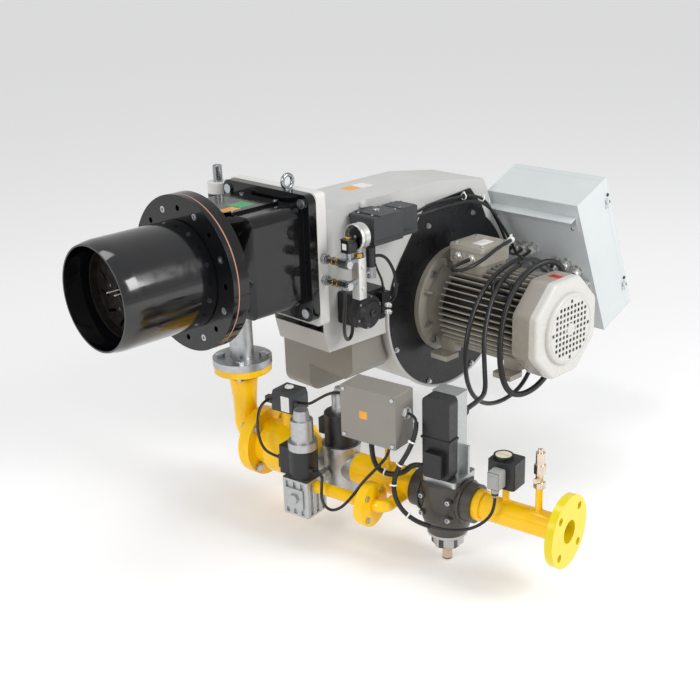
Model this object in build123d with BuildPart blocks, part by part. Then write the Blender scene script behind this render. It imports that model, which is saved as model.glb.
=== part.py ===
"""Industrial gas burner: blast tube, swing-out fan unit and yawed gas train, in millimetres.

The origin is the centre of the front face of the boiler flange. The flame leaves
along -X, +Z is up, and the motor and the gas train reach out along -Y.
"""
import os
from math import cos, pi, radians, sin, sqrt, tan

from build123d import *

os.makedirs("parts", exist_ok=True)

# Clearances
BODY_GAP = 0.3
SHAFT_FIT = 0.05

# Blast tube
TUBE_RADIUS = 130
TUBE_WALL = 4
TUBE_REACH = 247
NOSE_LENGTH = 42
MOUTH_RADIUS = 124
TUBE_RIM_RADIUS = 144
TUBE_RIM_THICKNESS = 8
TUBE_RELIEF = 3
RELIEF_DEPTH = 1

# Boiler flange, gasket and the screws that hold them to the head
FLANGE_RADIUS = 188
FLANGE_THICKNESS = 14
GASKET_THICKNESS = 3
BOILER_PCD = 315
BOILER_HOLES = 8
BOILER_HOLE_RADIUS = 7
CLAMP_SCREW_RADIUS = 5
CLAMP_HEAD_RADIUS = 8
CLAMP_HEAD_DEPTH = 9

# Head casting
HEAD_DISC_THICKNESS = 29
NECK_RADIUS = 140
NECK_LENGTH = 34
SHOULDER_LENGTH = 26
HEAD_WIDTH = 276
HEAD_HEIGHT = 250
HEAD_CENTRE_Z = 6
HEAD_CORNER = 24
HEAD_WALL = 10
HEAD_REAR = 286
SQUARE_FLANGE_HALF = 159
SQUARE_FLANGE_CORNER = 22
SQUARE_FLANGE_THICKNESS = 24
COVER_LENGTH = 150
COVER_WIDTH = 140
COVER_THICKNESS = 6
COVER_X = 175
COVER_LIP = 14
COVER_SCREW_RADIUS = 3
CLOSING_SCREW_RADIUS = 6
CLOSING_SCREW_INSET = 22
EYEBOLT_Y = -75
EYEBOLT_RADIUS = 6
EYEBOLT_DEPTH = 14
EYEBOLT_RING = 16

# Swing hinge of the fan unit
HINGE_X = 273
HINGE_Y = 193
KNUCKLE_RADIUS = 29
KNUCKLE_HEIGHT = 28
KNUCKLE_TOP = 145
HINGE_PIN_RADIUS = 12
HINGE_PIN_RISE = 43

# Combustion head inside the tube
GAS_PIPE_RADIUS = 30
GAS_PIPE_WALL = 3.6
MANIFOLD_BEND = 75
MANIFOLD_FRONT = -95
MANIFOLD_DEPTH = 35
MANIFOLD_RADIUS = 72
LANCES = 6
LANCE_CIRCLE = 58
LANCE_RADIUS = 9
DIFFUSER_X = -165
DIFFUSER_RADIUS = 108
DIFFUSER_HOLE = 30
DIFFUSER_RIM = 22
DIFFUSER_SLOTS = 12
SHEET = 3
ELECTRODE_SPREAD = 15
CERAMIC_RADIUS = 6
ROD_RADIUS = 1.5

# Gas train: a straight line, level with TRAIN_Z and turned by TRAIN_YAW
TRAIN_X = 159
TRAIN_Z = -470
TRAIN_YAW = 9
STUB_FLANGE_RADIUS = 75
STUB_FLANGE_BOTTOM = -271
STUB_FLANGE_THICKNESS = 18
STUB_PCD = 110
ELBOW_TOP_RADIUS = 38
ELBOW_CONE_END = -375
ELBOW_BEND = 45
TRAIN_FLANGE_RADIUS = 87
TRAIN_FLANGE_THICKNESS = 16
TRAIN_FLANGE_PCD = 145
TRAIN_BOLT_RADIUS = 8

# Butterfly valve for the gas
BUTTERFLY_BORE = 50
BUTTERFLY_BARREL = 70
BUTTERFLY_NECK = 60
BUTTERFLY_END = 190
BUTTERFLY_CONE_END = 256
BUTTERFLY_SHAFT_S = 149
SPINDLE_RADIUS = 7
BUTTERFLY_NECK_TOP = -361
SERVO_LENGTH = 70
SERVO_WIDTH = 65
SERVO_HEIGHT = 52

# Safety solenoid valve on the main line
SAFETY_S = 305
SAFETY_BOTTOM = -538
SAFETY_TOP = -413
SAFETY_FOOT_RADIUS = 40
SAFETY_TOP_RADIUS = 48
SAFETY_SOCKET_RADIUS = 37
SAFETY_COIL_TOP = -332
SAFETY_CAP_TOP = -270

# Main pipe with its tee and the junction box post
MAIN_PIPE_RADIUS = 38
MAIN_PIPE_WALL = 4
MAIN_PIPE_END = 525
PILOT_X = -105
PILOT_Z = -488
PILOT_PIPE_RADIUS = 15
PILOT_JOINT_S = 462
PILOT_FLANGE_RADIUS = 52
PILOT_FLANGE_THICKNESS = 11
PILOT_BEND = 26
POST_S = 458
POST_X = -26
POST_RADIUS = 6

# Pilot solenoid valve
PILOT_VALVE_S = 270
PILOT_BASE_SIZE = 76
PILOT_BASE_BOTTOM = -560
PILOT_BASE_TOP = -466
PILOT_COIL_RADIUS = 35
PILOT_COIL_TOP = -395
PILOT_CAP_TOP = -298
PILOT_LEAD_S = 314

# Main gas valve and its actuator
VALVE_S = 605
VALVE_HALF_LENGTH = 80
VALVE_COLLAR_RADIUS = 45
VALVE_BODY_RADIUS = 60
VALVE_BODY_BOTTOM = -560
VALVE_BODY_TOP = -425
VALVE_BORE = 22
VALVE_SEAT_RADIUS = 22
VALVE_CAVITY_RADIUS = 33
VALVE_CAP_BOTTOM = -592
VALVE_PLUG_BOTTOM = -633
VALVE_LIFT = 12
STEM_RADIUS = 6
ACTUATOR_WIDTH = 66
ACTUATOR_COVER_DEPTH = 36
ACTUATOR_FRAME_DEPTH = 46
ACTUATOR_TOP = -215
ACTUATOR_S = 601
ACTUATOR_SOCKET_Z = -290
SOCKET_RISE = 6
PLUG_RADIUS = 13
PLUG_LENGTH = 38

# Inlet spool, DN50
SPOOL_RADIUS = 30.15
SPOOL_BORE = 26.5
INLET_FLANGE_S = 909
INLET_FLANGE_RADIUS = 82.5
INLET_FLANGE_THICKNESS = 18
INLET_PCD = 125
INLET_HOLE_RADIUS = 9
SWITCH_STUB_S = 755
COCK_STUB_S = 835
STUB_PIPE_RADIUS = 8
SWITCH_STUB_TOP = -398
COCK_STUB_TOP = -385
SWITCH_WIDTH = 66
SWITCH_DEPTH = 56
SWITCH_HEIGHT = 62
DIAL_RADIUS = 18
COCK_TRAVEL = 4

# Junction box on the gas train
BOX_FRONT = -83
BOX_DEPTH = 68
BOX_LEFT = 370
BOX_RIGHT = 521
BOX_BOTTOM = -348
BOX_TOP = -218
BOX_WALL = 2.5

# Fan unit: mounting plate and scroll
PLATE_THICKNESS = 30
PLATE_TOP = 160
PLATE_BOTTOM = -175
PLATE_HALF_WIDTH = 160
PASSAGE_HALF = 112
FAN_X = 797
FAN_Z = -231
CASING_NEAR = -137
CASING_FAR = 50
CASING_TOP = 106
CASING_SHEET = 2.5
NEAR_OPENING = 236
EYE_RADIUS = 96
SIDE_PLATE_RADIUS = 251
SIDE_PLATE_THICKNESS = 5
SIDE_BOLT_CIRCLE = 228
SIDE_BOLTS = 8

# Impeller
IMPELLER_RADIUS = 198
IMPELLER_INNER = 128
IMPELLER_NEAR = -108
IMPELLER_FAR = 14
IMPELLER_BLADES = 20
HUB_RADIUS = 34

# Air damper and its servo
DAMPER_X = 431
DAMPER_Z = 28
DAMPER_HALF = 68
DAMPER_SHAFT_RADIUS = 6
DAMPER_TUNNEL = 58
AIR_SERVO_X = 408
AIR_SERVO_LENGTH = 171
AIR_SERVO_BOTTOM = 16
AIR_SERVO_TOP = 87
AIR_SERVO_BACK = -150
AIR_SERVO_FRONT = -230

# Air intake box and inlet cone
INTAKE_X = 430
INTAKE_REAR = 1010
INTAKE_NEAR = -118
INTAKE_FAR = 150
INTAKE_BOTTOM = -378
INTAKE_FAR_BOTTOM = -455
INTAKE_FAR_TOP = 10

# Motor, frame size 132
MOTOR_FLANGE_RADIUS = 150
MOTOR_FLANGE_THICKNESS = 16
MOTOR_PCD = 265
MOTOR_BODY_RADIUS = 102
MOTOR_FIN_RADIUS = 124
MOTOR_FINS = 44
MOTOR_BODY_END = -470
MOTOR_COVER_END = -544
MOTOR_COVER_RADIUS = 129
MOTOR_SHAFT_RADIUS = 19
MOTOR_BELL_END = -205
FOOT_SPREAD = 108
FOOT_NEAR = -451
FOOT_FAR = -176
FOOT_DROP = 132
TERMINAL_BOX_SIZE = 116
TERMINAL_BOX_Y = -250
TERMINAL_BOX_TOP = -50
GRILLE_RADIUS = 80
GRILLE_PITCH = 15
GRILLE_HOLE = 9

# Gauge group beside the mounting plate
GROUP_Y = -232
BLOCK_X = 352
BLOCK_SIZE = 25
BLOCK_TOP = 3
BLOCK_BOTTOM = -100
BRANCH = 41
VALVE_KNOB = 12
NIPPLE_X = 303
NIPPLE_HEIGHTS = (-2, -56)
NIPPLE_RADIUS = 8
GAUGE_RADIUS = 31.5
GAUGE_DEPTH = 28
GAUGE_Z = 56
NEEDLE_OFFSET = 5.6
AIR_SWITCH_X = 392
AIR_SWITCH_Z = -149
AIR_SWITCH_RADIUS = 43

# Control cabinet, leaning back on its bracket
CABINET_LEAN = 22.5
CABINET_TOP_X = 984
CABINET_TOP_Z = 34
CABINET_FAR = -118
CABINET_WIDTH = 302
CABINET_HEIGHT = 426
CABINET_DEPTH = 142
CABINET_WALL = 2
DOOR_DEPTH = 20
DOOR_HINGE_RADIUS = 4
DOOR_PIN_RADIUS = 2
DOOR_HINGE_HEIGHT = 12
DOOR_HINGES = (-84, 60 - CABINET_HEIGHT)
RAIL_DROP = 62
STRUT_DROP = 0.648 * CABINET_HEIGHT
GLAND_REACH = 22
GLAND_ROWS = [-share * CABINET_HEIGHT for share in (0.404, 0.481, 0.526, 0.798, 0.845)]
CABINET_GLANDS = (
    (GLAND_ROWS[0], 54),
    (GLAND_ROWS[0], 90),
    (GLAND_ROWS[0], 118),
    (GLAND_ROWS[1], 190),
    (GLAND_ROWS[1], 225),
    (GLAND_ROWS[2], 256),
    (GLAND_ROWS[3], 200),
    (GLAND_ROWS[4], 165),
)

# Places that follow from the sizes above
HEAD_FRONT = FLANGE_THICKNESS + GASKET_THICKNESS
NECK_START = HEAD_FRONT + HEAD_DISC_THICKNESS
NECK_END = NECK_START + NECK_LENGTH
BOX_START = NECK_END + SHOULDER_LENGTH
SQUARE_FLANGE_FRONT = HEAD_REAR - SQUARE_FLANGE_THICKNESS
EYEBOLT_X = HEAD_REAR - SQUARE_FLANGE_THICKNESS / 2
HEAD_TOP = HEAD_CENTRE_Z + HEAD_HEIGHT / 2
HEAD_BOTTOM = HEAD_CENTRE_Z - HEAD_HEIGHT / 2
PLATE_FRONT = HEAD_REAR + BODY_GAP
CASING_START = PLATE_FRONT + PLATE_THICKNESS
TRAIN = Plane(
    origin=(TRAIN_X, 0, 0),
    x_dir=(cos(radians(TRAIN_YAW)), sin(radians(TRAIN_YAW)), 0),
    z_dir=(0, 0, 1),
)
CABINET = Plane(
    origin=(CABINET_TOP_X, CABINET_FAR, CABINET_TOP_Z),
    x_dir=(cos(radians(CABINET_LEAN)), 0, sin(radians(CABINET_LEAN))),
    z_dir=(0, -1, 0),
)


def save(piece, name):
    """Label a finished piece and write its STEP file."""
    piece.label = name
    export_step(piece, f"parts/{name}.step")


def upstream(s, x=0, z=TRAIN_Z):
    """Plane across the gas line at s millimetres from the stub, facing the inlet."""
    return Plane(
        origin=TRAIN.from_local_coords((x, -s, z)),
        x_dir=TRAIN.x_dir,
        z_dir=-TRAIN.y_dir,
    )


def level(s, x, z):
    """Horizontal plane of the gas line, facing up."""
    return Plane(origin=TRAIN.from_local_coords((x, -s, z)), x_dir=TRAIN.x_dir, z_dir=(0, 0, 1))


def train_front(s, x, z):
    """Plane of the gas line that faces the flame side."""
    return Plane(
        origin=TRAIN.from_local_coords((x, -s, z)), x_dir=-TRAIN.y_dir, z_dir=-TRAIN.x_dir
    )


def cabinet_front(x, down, along):
    """Plane on the front wall of the cabinet, facing forward and down."""
    return Plane(
        origin=CABINET.from_local_coords((x, down, along)),
        x_dir=CABINET.z_dir,
        z_dir=-CABINET.x_dir,
    )


def near(x, y, z):
    """Upright plane that faces the motor side, -Y."""
    return Plane(origin=(x, y, z), x_dir=(1, 0, 0), z_dir=(0, -1, 0))


def forward(x, y=0, z=0):
    """Upright plane that faces the flame side, -X."""
    return Plane(origin=(x, y, z), x_dir=(0, -1, 0), z_dir=(-1, 0, 0))


def rearward(x, y=0, z=0):
    """Upright plane that faces the rear, +X."""
    return Plane(origin=(x, y, z), x_dir=(0, 1, 0), z_dir=(1, 0, 0))


def flat(x, y, z):
    """Horizontal plane that faces up."""
    return Plane(origin=(x, y, z), x_dir=(1, 0, 0), z_dir=(0, 0, 1))


# Blast tube with its rolled-in nose and the rim that the flange clamps
with BuildPart() as blast_tube:
    rim_rear = HEAD_FRONT + TUBE_RIM_THICKNESS
    nose_start = NOSE_LENGTH - TUBE_REACH
    bore = TUBE_RADIUS - TUBE_WALL
    with BuildSketch(Plane.XZ):
        with BuildLine():
            Polyline(
                (nose_start, TUBE_RADIUS),
                (-TUBE_RELIEF, TUBE_RADIUS),
                (-TUBE_RELIEF, TUBE_RADIUS - RELIEF_DEPTH),
                (HEAD_FRONT, TUBE_RADIUS - RELIEF_DEPTH),
                (HEAD_FRONT, TUBE_RIM_RADIUS),
                (rim_rear, TUBE_RIM_RADIUS),
                (rim_rear, bore),
                (nose_start, bore),
            )
            TangentArc((nose_start, bore), (-TUBE_REACH, MOUTH_RADIUS - TUBE_WALL), tangent=(-1, 0))
            Line((-TUBE_REACH, MOUTH_RADIUS - TUBE_WALL), (-TUBE_REACH, MOUTH_RADIUS))
            TangentArc((nose_start, TUBE_RADIUS), (-TUBE_REACH, MOUTH_RADIUS), tangent=(-1, 0))
        make_face()
    revolve(axis=Axis.X)
save(blast_tube.part, "blast_tube")

# Loose boiler flange, drilled for the boiler studs and the clamp screws
with BuildPart() as boiler_flange:
    with BuildSketch(Plane.YZ):
        Circle(FLANGE_RADIUS)
        Circle(TUBE_RADIUS + BODY_GAP, mode=Mode.SUBTRACT)
        with PolarLocations(BOILER_PCD / 2, BOILER_HOLES):
            Circle(BOILER_HOLE_RADIUS, mode=Mode.SUBTRACT)
        with PolarLocations(BOILER_PCD / 2, BOILER_HOLES, start_angle=180 / BOILER_HOLES):
            Circle(CLAMP_SCREW_RADIUS + SHAFT_FIT, mode=Mode.SUBTRACT)
    extrude(amount=FLANGE_THICKNESS)
    with BuildSketch(Plane.YZ):
        with PolarLocations(BOILER_PCD / 2, BOILER_HOLES, start_angle=180 / BOILER_HOLES):
            Circle(CLAMP_HEAD_RADIUS + BODY_GAP)
    extrude(amount=CLAMP_HEAD_DEPTH, mode=Mode.SUBTRACT)
save(boiler_flange.part, "boiler_flange")

with BuildPart() as flange_gasket:
    with BuildSketch(Plane.YZ.offset(FLANGE_THICKNESS)):
        Circle(FLANGE_RADIUS)
        Circle(TUBE_RADIUS + BODY_GAP, mode=Mode.SUBTRACT)
        with PolarLocations(BOILER_PCD / 2, BOILER_HOLES):
            Circle(BOILER_HOLE_RADIUS, mode=Mode.SUBTRACT)
        with PolarLocations(BOILER_PCD / 2, BOILER_HOLES, start_angle=180 / BOILER_HOLES):
            Circle(CLAMP_SCREW_RADIUS + SHAFT_FIT, mode=Mode.SUBTRACT)
    extrude(amount=GASKET_THICKNESS)
save(flange_gasket.part, "flange_gasket")

# Head casting: round disc and neck, square body, rear flange and two hinge knuckles
KNUCKLE_ARM = SQUARE_FLANGE_HALF - 4
FIXED_KNUCKLE_BOTTOMS = (
    KNUCKLE_TOP - 2 * KNUCKLE_HEIGHT - BODY_GAP,
    -KNUCKLE_TOP,
)
with BuildPart() as head_casting:
    with BuildSketch(Plane.YZ.offset(HEAD_FRONT)):
        Circle(FLANGE_RADIUS)
    extrude(amount=HEAD_DISC_THICKNESS)
    with BuildSketch(Plane.YZ.offset(NECK_START)):
        Circle(NECK_RADIUS)
    extrude(amount=NECK_LENGTH)
    with BuildSketch(Plane.YZ.offset(NECK_END)):
        Circle(NECK_RADIUS - HEAD_CENTRE_Z)
    with BuildSketch(Plane.YZ.offset(BOX_START)):
        with Locations((0, HEAD_CENTRE_Z)):
            RectangleRounded(HEAD_WIDTH, HEAD_HEIGHT, HEAD_CORNER)
    loft()
    with BuildSketch(Plane.YZ.offset(BOX_START)):
        with Locations((0, HEAD_CENTRE_Z)):
            RectangleRounded(HEAD_WIDTH, HEAD_HEIGHT, HEAD_CORNER)
    extrude(amount=SQUARE_FLANGE_FRONT - BOX_START)
    with BuildSketch(Plane.YZ.offset(SQUARE_FLANGE_FRONT)):
        RectangleRounded(2 * SQUARE_FLANGE_HALF, 2 * SQUARE_FLANGE_HALF, SQUARE_FLANGE_CORNER)
    extrude(amount=SQUARE_FLANGE_THICKNESS)
    for bottom in FIXED_KNUCKLE_BOTTOMS:
        with BuildSketch(flat(0, 0, bottom)):
            with Locations((HINGE_X, HINGE_Y)):
                Circle(KNUCKLE_RADIUS)
            with Locations((HINGE_X, (HINGE_Y + KNUCKLE_ARM) / 2)):
                Rectangle(2 * (HEAD_REAR - HINGE_X), HINGE_Y - KNUCKLE_ARM)
        extrude(amount=KNUCKLE_HEIGHT)
    # Gas boss under the body
    with BuildSketch(flat(TRAIN_X, 0, HEAD_BOTTOM - 12)):
        Circle(GAS_PIPE_RADIUS + 16)
    extrude(amount=14)
    # Air way through the casting
    with BuildSketch(Plane.YZ.offset(HEAD_FRONT)):
        Circle(TUBE_RADIUS - TUBE_WALL)
    extrude(amount=NECK_END - HEAD_FRONT, mode=Mode.SUBTRACT)
    with BuildSketch(Plane.YZ.offset(NECK_END)):
        Circle(TUBE_RADIUS - TUBE_WALL)
    with BuildSketch(Plane.YZ.offset(BOX_START)):
        with Locations((0, HEAD_CENTRE_Z)):
            RectangleRounded(
                HEAD_WIDTH - 2 * HEAD_WALL, HEAD_HEIGHT - 2 * HEAD_WALL, HEAD_CORNER - HEAD_WALL
            )
    loft(mode=Mode.SUBTRACT)
    with BuildSketch(Plane.YZ.offset(BOX_START)):
        with Locations((0, HEAD_CENTRE_Z)):
            RectangleRounded(
                HEAD_WIDTH - 2 * HEAD_WALL, HEAD_HEIGHT - 2 * HEAD_WALL, HEAD_CORNER - HEAD_WALL
            )
    extrude(amount=HEAD_REAR - BOX_START, mode=Mode.SUBTRACT)
    with BuildSketch(Plane.YZ.offset(HEAD_FRONT)):
        Circle(TUBE_RIM_RADIUS + BODY_GAP)
    extrude(amount=TUBE_RIM_THICKNESS, mode=Mode.SUBTRACT)
    with BuildSketch(Plane.YZ.offset(HEAD_FRONT)):
        with PolarLocations(BOILER_PCD / 2, BOILER_HOLES):
            Circle(BOILER_HOLE_RADIUS)
        with PolarLocations(BOILER_PCD / 2, BOILER_HOLES, start_angle=180 / BOILER_HOLES):
            Circle(CLAMP_SCREW_RADIUS + SHAFT_FIT)
    extrude(amount=HEAD_DISC_THICKNESS, mode=Mode.SUBTRACT)
    with BuildSketch(flat(COVER_X, 0, HEAD_TOP - 2 * HEAD_WALL)):
        RectangleRounded(COVER_LENGTH - 2 * COVER_LIP, COVER_WIDTH - 2 * COVER_LIP, 10)
    extrude(amount=3 * HEAD_WALL, mode=Mode.SUBTRACT)
    with BuildSketch(flat(COVER_X, 0, HEAD_TOP)):
        with GridLocations(COVER_LENGTH - COVER_LIP, COVER_WIDTH - COVER_LIP, 2, 2):
            Circle(COVER_SCREW_RADIUS + SHAFT_FIT)
    extrude(amount=-HEAD_WALL, mode=Mode.SUBTRACT)
    with BuildSketch(flat(TRAIN_X, 0, HEAD_BOTTOM - 13)):
        Circle(GAS_PIPE_RADIUS + BODY_GAP)
    extrude(amount=30, mode=Mode.SUBTRACT)
    with BuildSketch(flat(HINGE_X, HINGE_Y, -KNUCKLE_TOP - 1)):
        Circle(HINGE_PIN_RADIUS + SHAFT_FIT)
    extrude(amount=2 * KNUCKLE_TOP + 2, mode=Mode.SUBTRACT)
    with BuildSketch(Plane.YZ.offset(SQUARE_FLANGE_FRONT)):
        with GridLocations(
            2 * (SQUARE_FLANGE_HALF - CLOSING_SCREW_INSET),
            2 * (SQUARE_FLANGE_HALF - CLOSING_SCREW_INSET),
            2,
            2,
        ):
            Circle(CLOSING_SCREW_RADIUS + SHAFT_FIT)
    extrude(amount=SQUARE_FLANGE_THICKNESS, mode=Mode.SUBTRACT)
    with BuildSketch(flat(EYEBOLT_X, EYEBOLT_Y, SQUARE_FLANGE_HALF)):
        Circle(EYEBOLT_RADIUS + SHAFT_FIT)
    extrude(amount=-EYEBOLT_DEPTH, mode=Mode.SUBTRACT)
save(head_casting.part, "head_casting")

with BuildPart() as head_cover:
    with BuildSketch(flat(COVER_X, 0, HEAD_TOP)):
        RectangleRounded(COVER_LENGTH, COVER_WIDTH, 8)
        with GridLocations(COVER_LENGTH - COVER_LIP, COVER_WIDTH - COVER_LIP, 2, 2):
            Circle(COVER_SCREW_RADIUS + SHAFT_FIT, mode=Mode.SUBTRACT)
    extrude(amount=COVER_THICKNESS)
save(head_cover.part, "head_cover")

# Clamp screws of the boiler flange, cover screws and the captive closing screws
with BuildPart() as head_screws:
    with BuildSketch(Plane.YZ):
        with PolarLocations(BOILER_PCD / 2, BOILER_HOLES, start_angle=180 / BOILER_HOLES):
            Circle(CLAMP_HEAD_RADIUS)
            RegularPolygon(CLAMP_SCREW_RADIUS - 1, 6, mode=Mode.SUBTRACT)
    extrude(amount=CLAMP_HEAD_DEPTH)
    with BuildSketch(Plane.YZ.offset(CLAMP_HEAD_DEPTH / 2)):
        with PolarLocations(BOILER_PCD / 2, BOILER_HOLES, start_angle=180 / BOILER_HOLES):
            Circle(CLAMP_SCREW_RADIUS)
    extrude(amount=NECK_START - CLAMP_HEAD_DEPTH / 2)
    with BuildSketch(flat(COVER_X, 0, HEAD_TOP - HEAD_WALL / 2)):
        with GridLocations(COVER_LENGTH - COVER_LIP, COVER_WIDTH - COVER_LIP, 2, 2):
            Circle(COVER_SCREW_RADIUS)
    extrude(amount=HEAD_WALL / 2 + COVER_THICKNESS)
    with BuildSketch(flat(COVER_X, 0, HEAD_TOP + COVER_THICKNESS)):
        with GridLocations(COVER_LENGTH - COVER_LIP, COVER_WIDTH - COVER_LIP, 2, 2):
            Circle(2 * COVER_SCREW_RADIUS)
    extrude(amount=COVER_SCREW_RADIUS)
    for radius, length, start in (
        (2 * CLOSING_SCREW_RADIUS, -CLOSING_SCREW_RADIUS, SQUARE_FLANGE_FRONT),
        (CLOSING_SCREW_RADIUS, SQUARE_FLANGE_THICKNESS, SQUARE_FLANGE_FRONT),
    ):
        with BuildSketch(Plane.YZ.offset(start)):
            with GridLocations(
                2 * (SQUARE_FLANGE_HALF - CLOSING_SCREW_INSET),
                2 * (SQUARE_FLANGE_HALF - CLOSING_SCREW_INSET),
                2,
                2,
            ):
                Circle(radius)
        extrude(amount=length)

with BuildPart() as lifting_eyebolt:
    eye_z = SQUARE_FLANGE_HALF + EYEBOLT_RADIUS + EYEBOLT_RING
    with BuildSketch(flat(EYEBOLT_X, EYEBOLT_Y, SQUARE_FLANGE_HALF - EYEBOLT_DEPTH)):
        Circle(EYEBOLT_RADIUS)
    extrude(amount=EYEBOLT_DEPTH + EYEBOLT_RADIUS)
    with BuildSketch(flat(EYEBOLT_X, EYEBOLT_Y, SQUARE_FLANGE_HALF)):
        Circle(2 * EYEBOLT_RADIUS)
    extrude(amount=EYEBOLT_RADIUS)
    with BuildSketch(flat(EYEBOLT_X, EYEBOLT_Y, eye_z)):
        with Locations((EYEBOLT_RING, 0)):
            Circle(EYEBOLT_RADIUS - 1)
    revolve(axis=Axis((EYEBOLT_X, EYEBOLT_Y, eye_z), (0, 1, 0)))
save(lifting_eyebolt.part, "lifting_eyebolt")

with BuildPart() as hinge_pin:
    with BuildSketch(flat(HINGE_X, HINGE_Y, -KNUCKLE_TOP - 4)):
        Circle(HINGE_PIN_RADIUS)
    extrude(amount=2 * KNUCKLE_TOP + 4 + HINGE_PIN_RISE)
    chamfer(hinge_pin.edges().group_by(Axis.Z)[-1], 2)
save(hinge_pin.part, "hinge_pin")

# Gas manifold: stub flange, bent pipe, gas chamber and the lances that feed the flame
with BuildPart() as gas_manifold:
    stub_plane = flat(TRAIN_X, 0, STUB_FLANGE_BOTTOM)
    with BuildSketch(stub_plane):
        Circle(STUB_FLANGE_RADIUS)
        with PolarLocations(STUB_PCD / 2, 4, start_angle=45):
            Circle(TRAIN_BOLT_RADIUS + BODY_GAP, mode=Mode.SUBTRACT)
    extrude(amount=STUB_FLANGE_THICKNESS)
    chamber_rear = MANIFOLD_FRONT + MANIFOLD_DEPTH
    with BuildLine() as manifold_path:
        FilletPolyline(
            (TRAIN_X, 0, STUB_FLANGE_BOTTOM),
            (TRAIN_X, 0, 0),
            (chamber_rear - SHEET / 2, 0, 0),
            radius=MANIFOLD_BEND,
        )
    with BuildSketch(stub_plane):
        Circle(GAS_PIPE_RADIUS)
    sweep(path=manifold_path.line)
    with BuildSketch(Plane.YZ.offset(MANIFOLD_FRONT)):
        Circle(MANIFOLD_RADIUS)
    extrude(amount=MANIFOLD_DEPTH)
    with BuildSketch(Plane.YZ.offset(MANIFOLD_FRONT)):
        with PolarLocations(LANCE_CIRCLE, LANCES):
            Circle(LANCE_RADIUS)
    extrude(amount=DIFFUSER_X + SHEET - MANIFOLD_FRONT)
    with BuildSketch(stub_plane):
        Circle(GAS_PIPE_RADIUS - GAS_PIPE_WALL)
    sweep(path=manifold_path.line, mode=Mode.SUBTRACT)
    with BuildSketch(Plane.YZ.offset(MANIFOLD_FRONT + SHEET)):
        Circle(MANIFOLD_RADIUS - SHEET)
    extrude(amount=MANIFOLD_DEPTH - 2 * SHEET, mode=Mode.SUBTRACT)
    with BuildSketch(Plane.YZ.offset(MANIFOLD_FRONT + 2 * SHEET)):
        with PolarLocations(LANCE_CIRCLE, LANCES):
            Circle(LANCE_RADIUS - SHEET)
    extrude(amount=DIFFUSER_X - MANIFOLD_FRONT, mode=Mode.SUBTRACT)
save(gas_manifold.part, "gas_manifold")

# Slotted diffuser disc on the ends of the lances
with BuildPart() as diffuser_disc:
    with BuildSketch(Plane.YZ.offset(DIFFUSER_X)):
        Circle(DIFFUSER_RADIUS)
        Circle(DIFFUSER_HOLE, mode=Mode.SUBTRACT)
        with PolarLocations(LANCE_CIRCLE, LANCES):
            Circle(LANCE_RADIUS - SHEET, mode=Mode.SUBTRACT)
        with PolarLocations(DIFFUSER_RADIUS - 24, DIFFUSER_SLOTS, start_angle=15):
            SlotOverall(34, 7, rotation=30, mode=Mode.SUBTRACT)
    extrude(amount=SHEET)
    with BuildSketch(Plane.YZ.offset(DIFFUSER_X - DIFFUSER_RIM)):
        Circle(DIFFUSER_RADIUS)
        Circle(DIFFUSER_RADIUS - SHEET, mode=Mode.SUBTRACT)
    extrude(amount=DIFFUSER_RIM)
save(diffuser_disc.part, "diffuser_disc")

with BuildPart() as electrodes:
    for radius, tip in ((CERAMIC_RADIUS, DIFFUSER_X + 14), (ROD_RADIUS, DIFFUSER_X - 36)):
        with BuildSketch(Plane.YZ.offset(MANIFOLD_FRONT)):
            with GridLocations(2 * ELECTRODE_SPREAD, 0, 2, 1):
                Circle(radius)
        extrude(amount=tip - MANIFOLD_FRONT)
save(electrodes.part, "electrodes")

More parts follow.
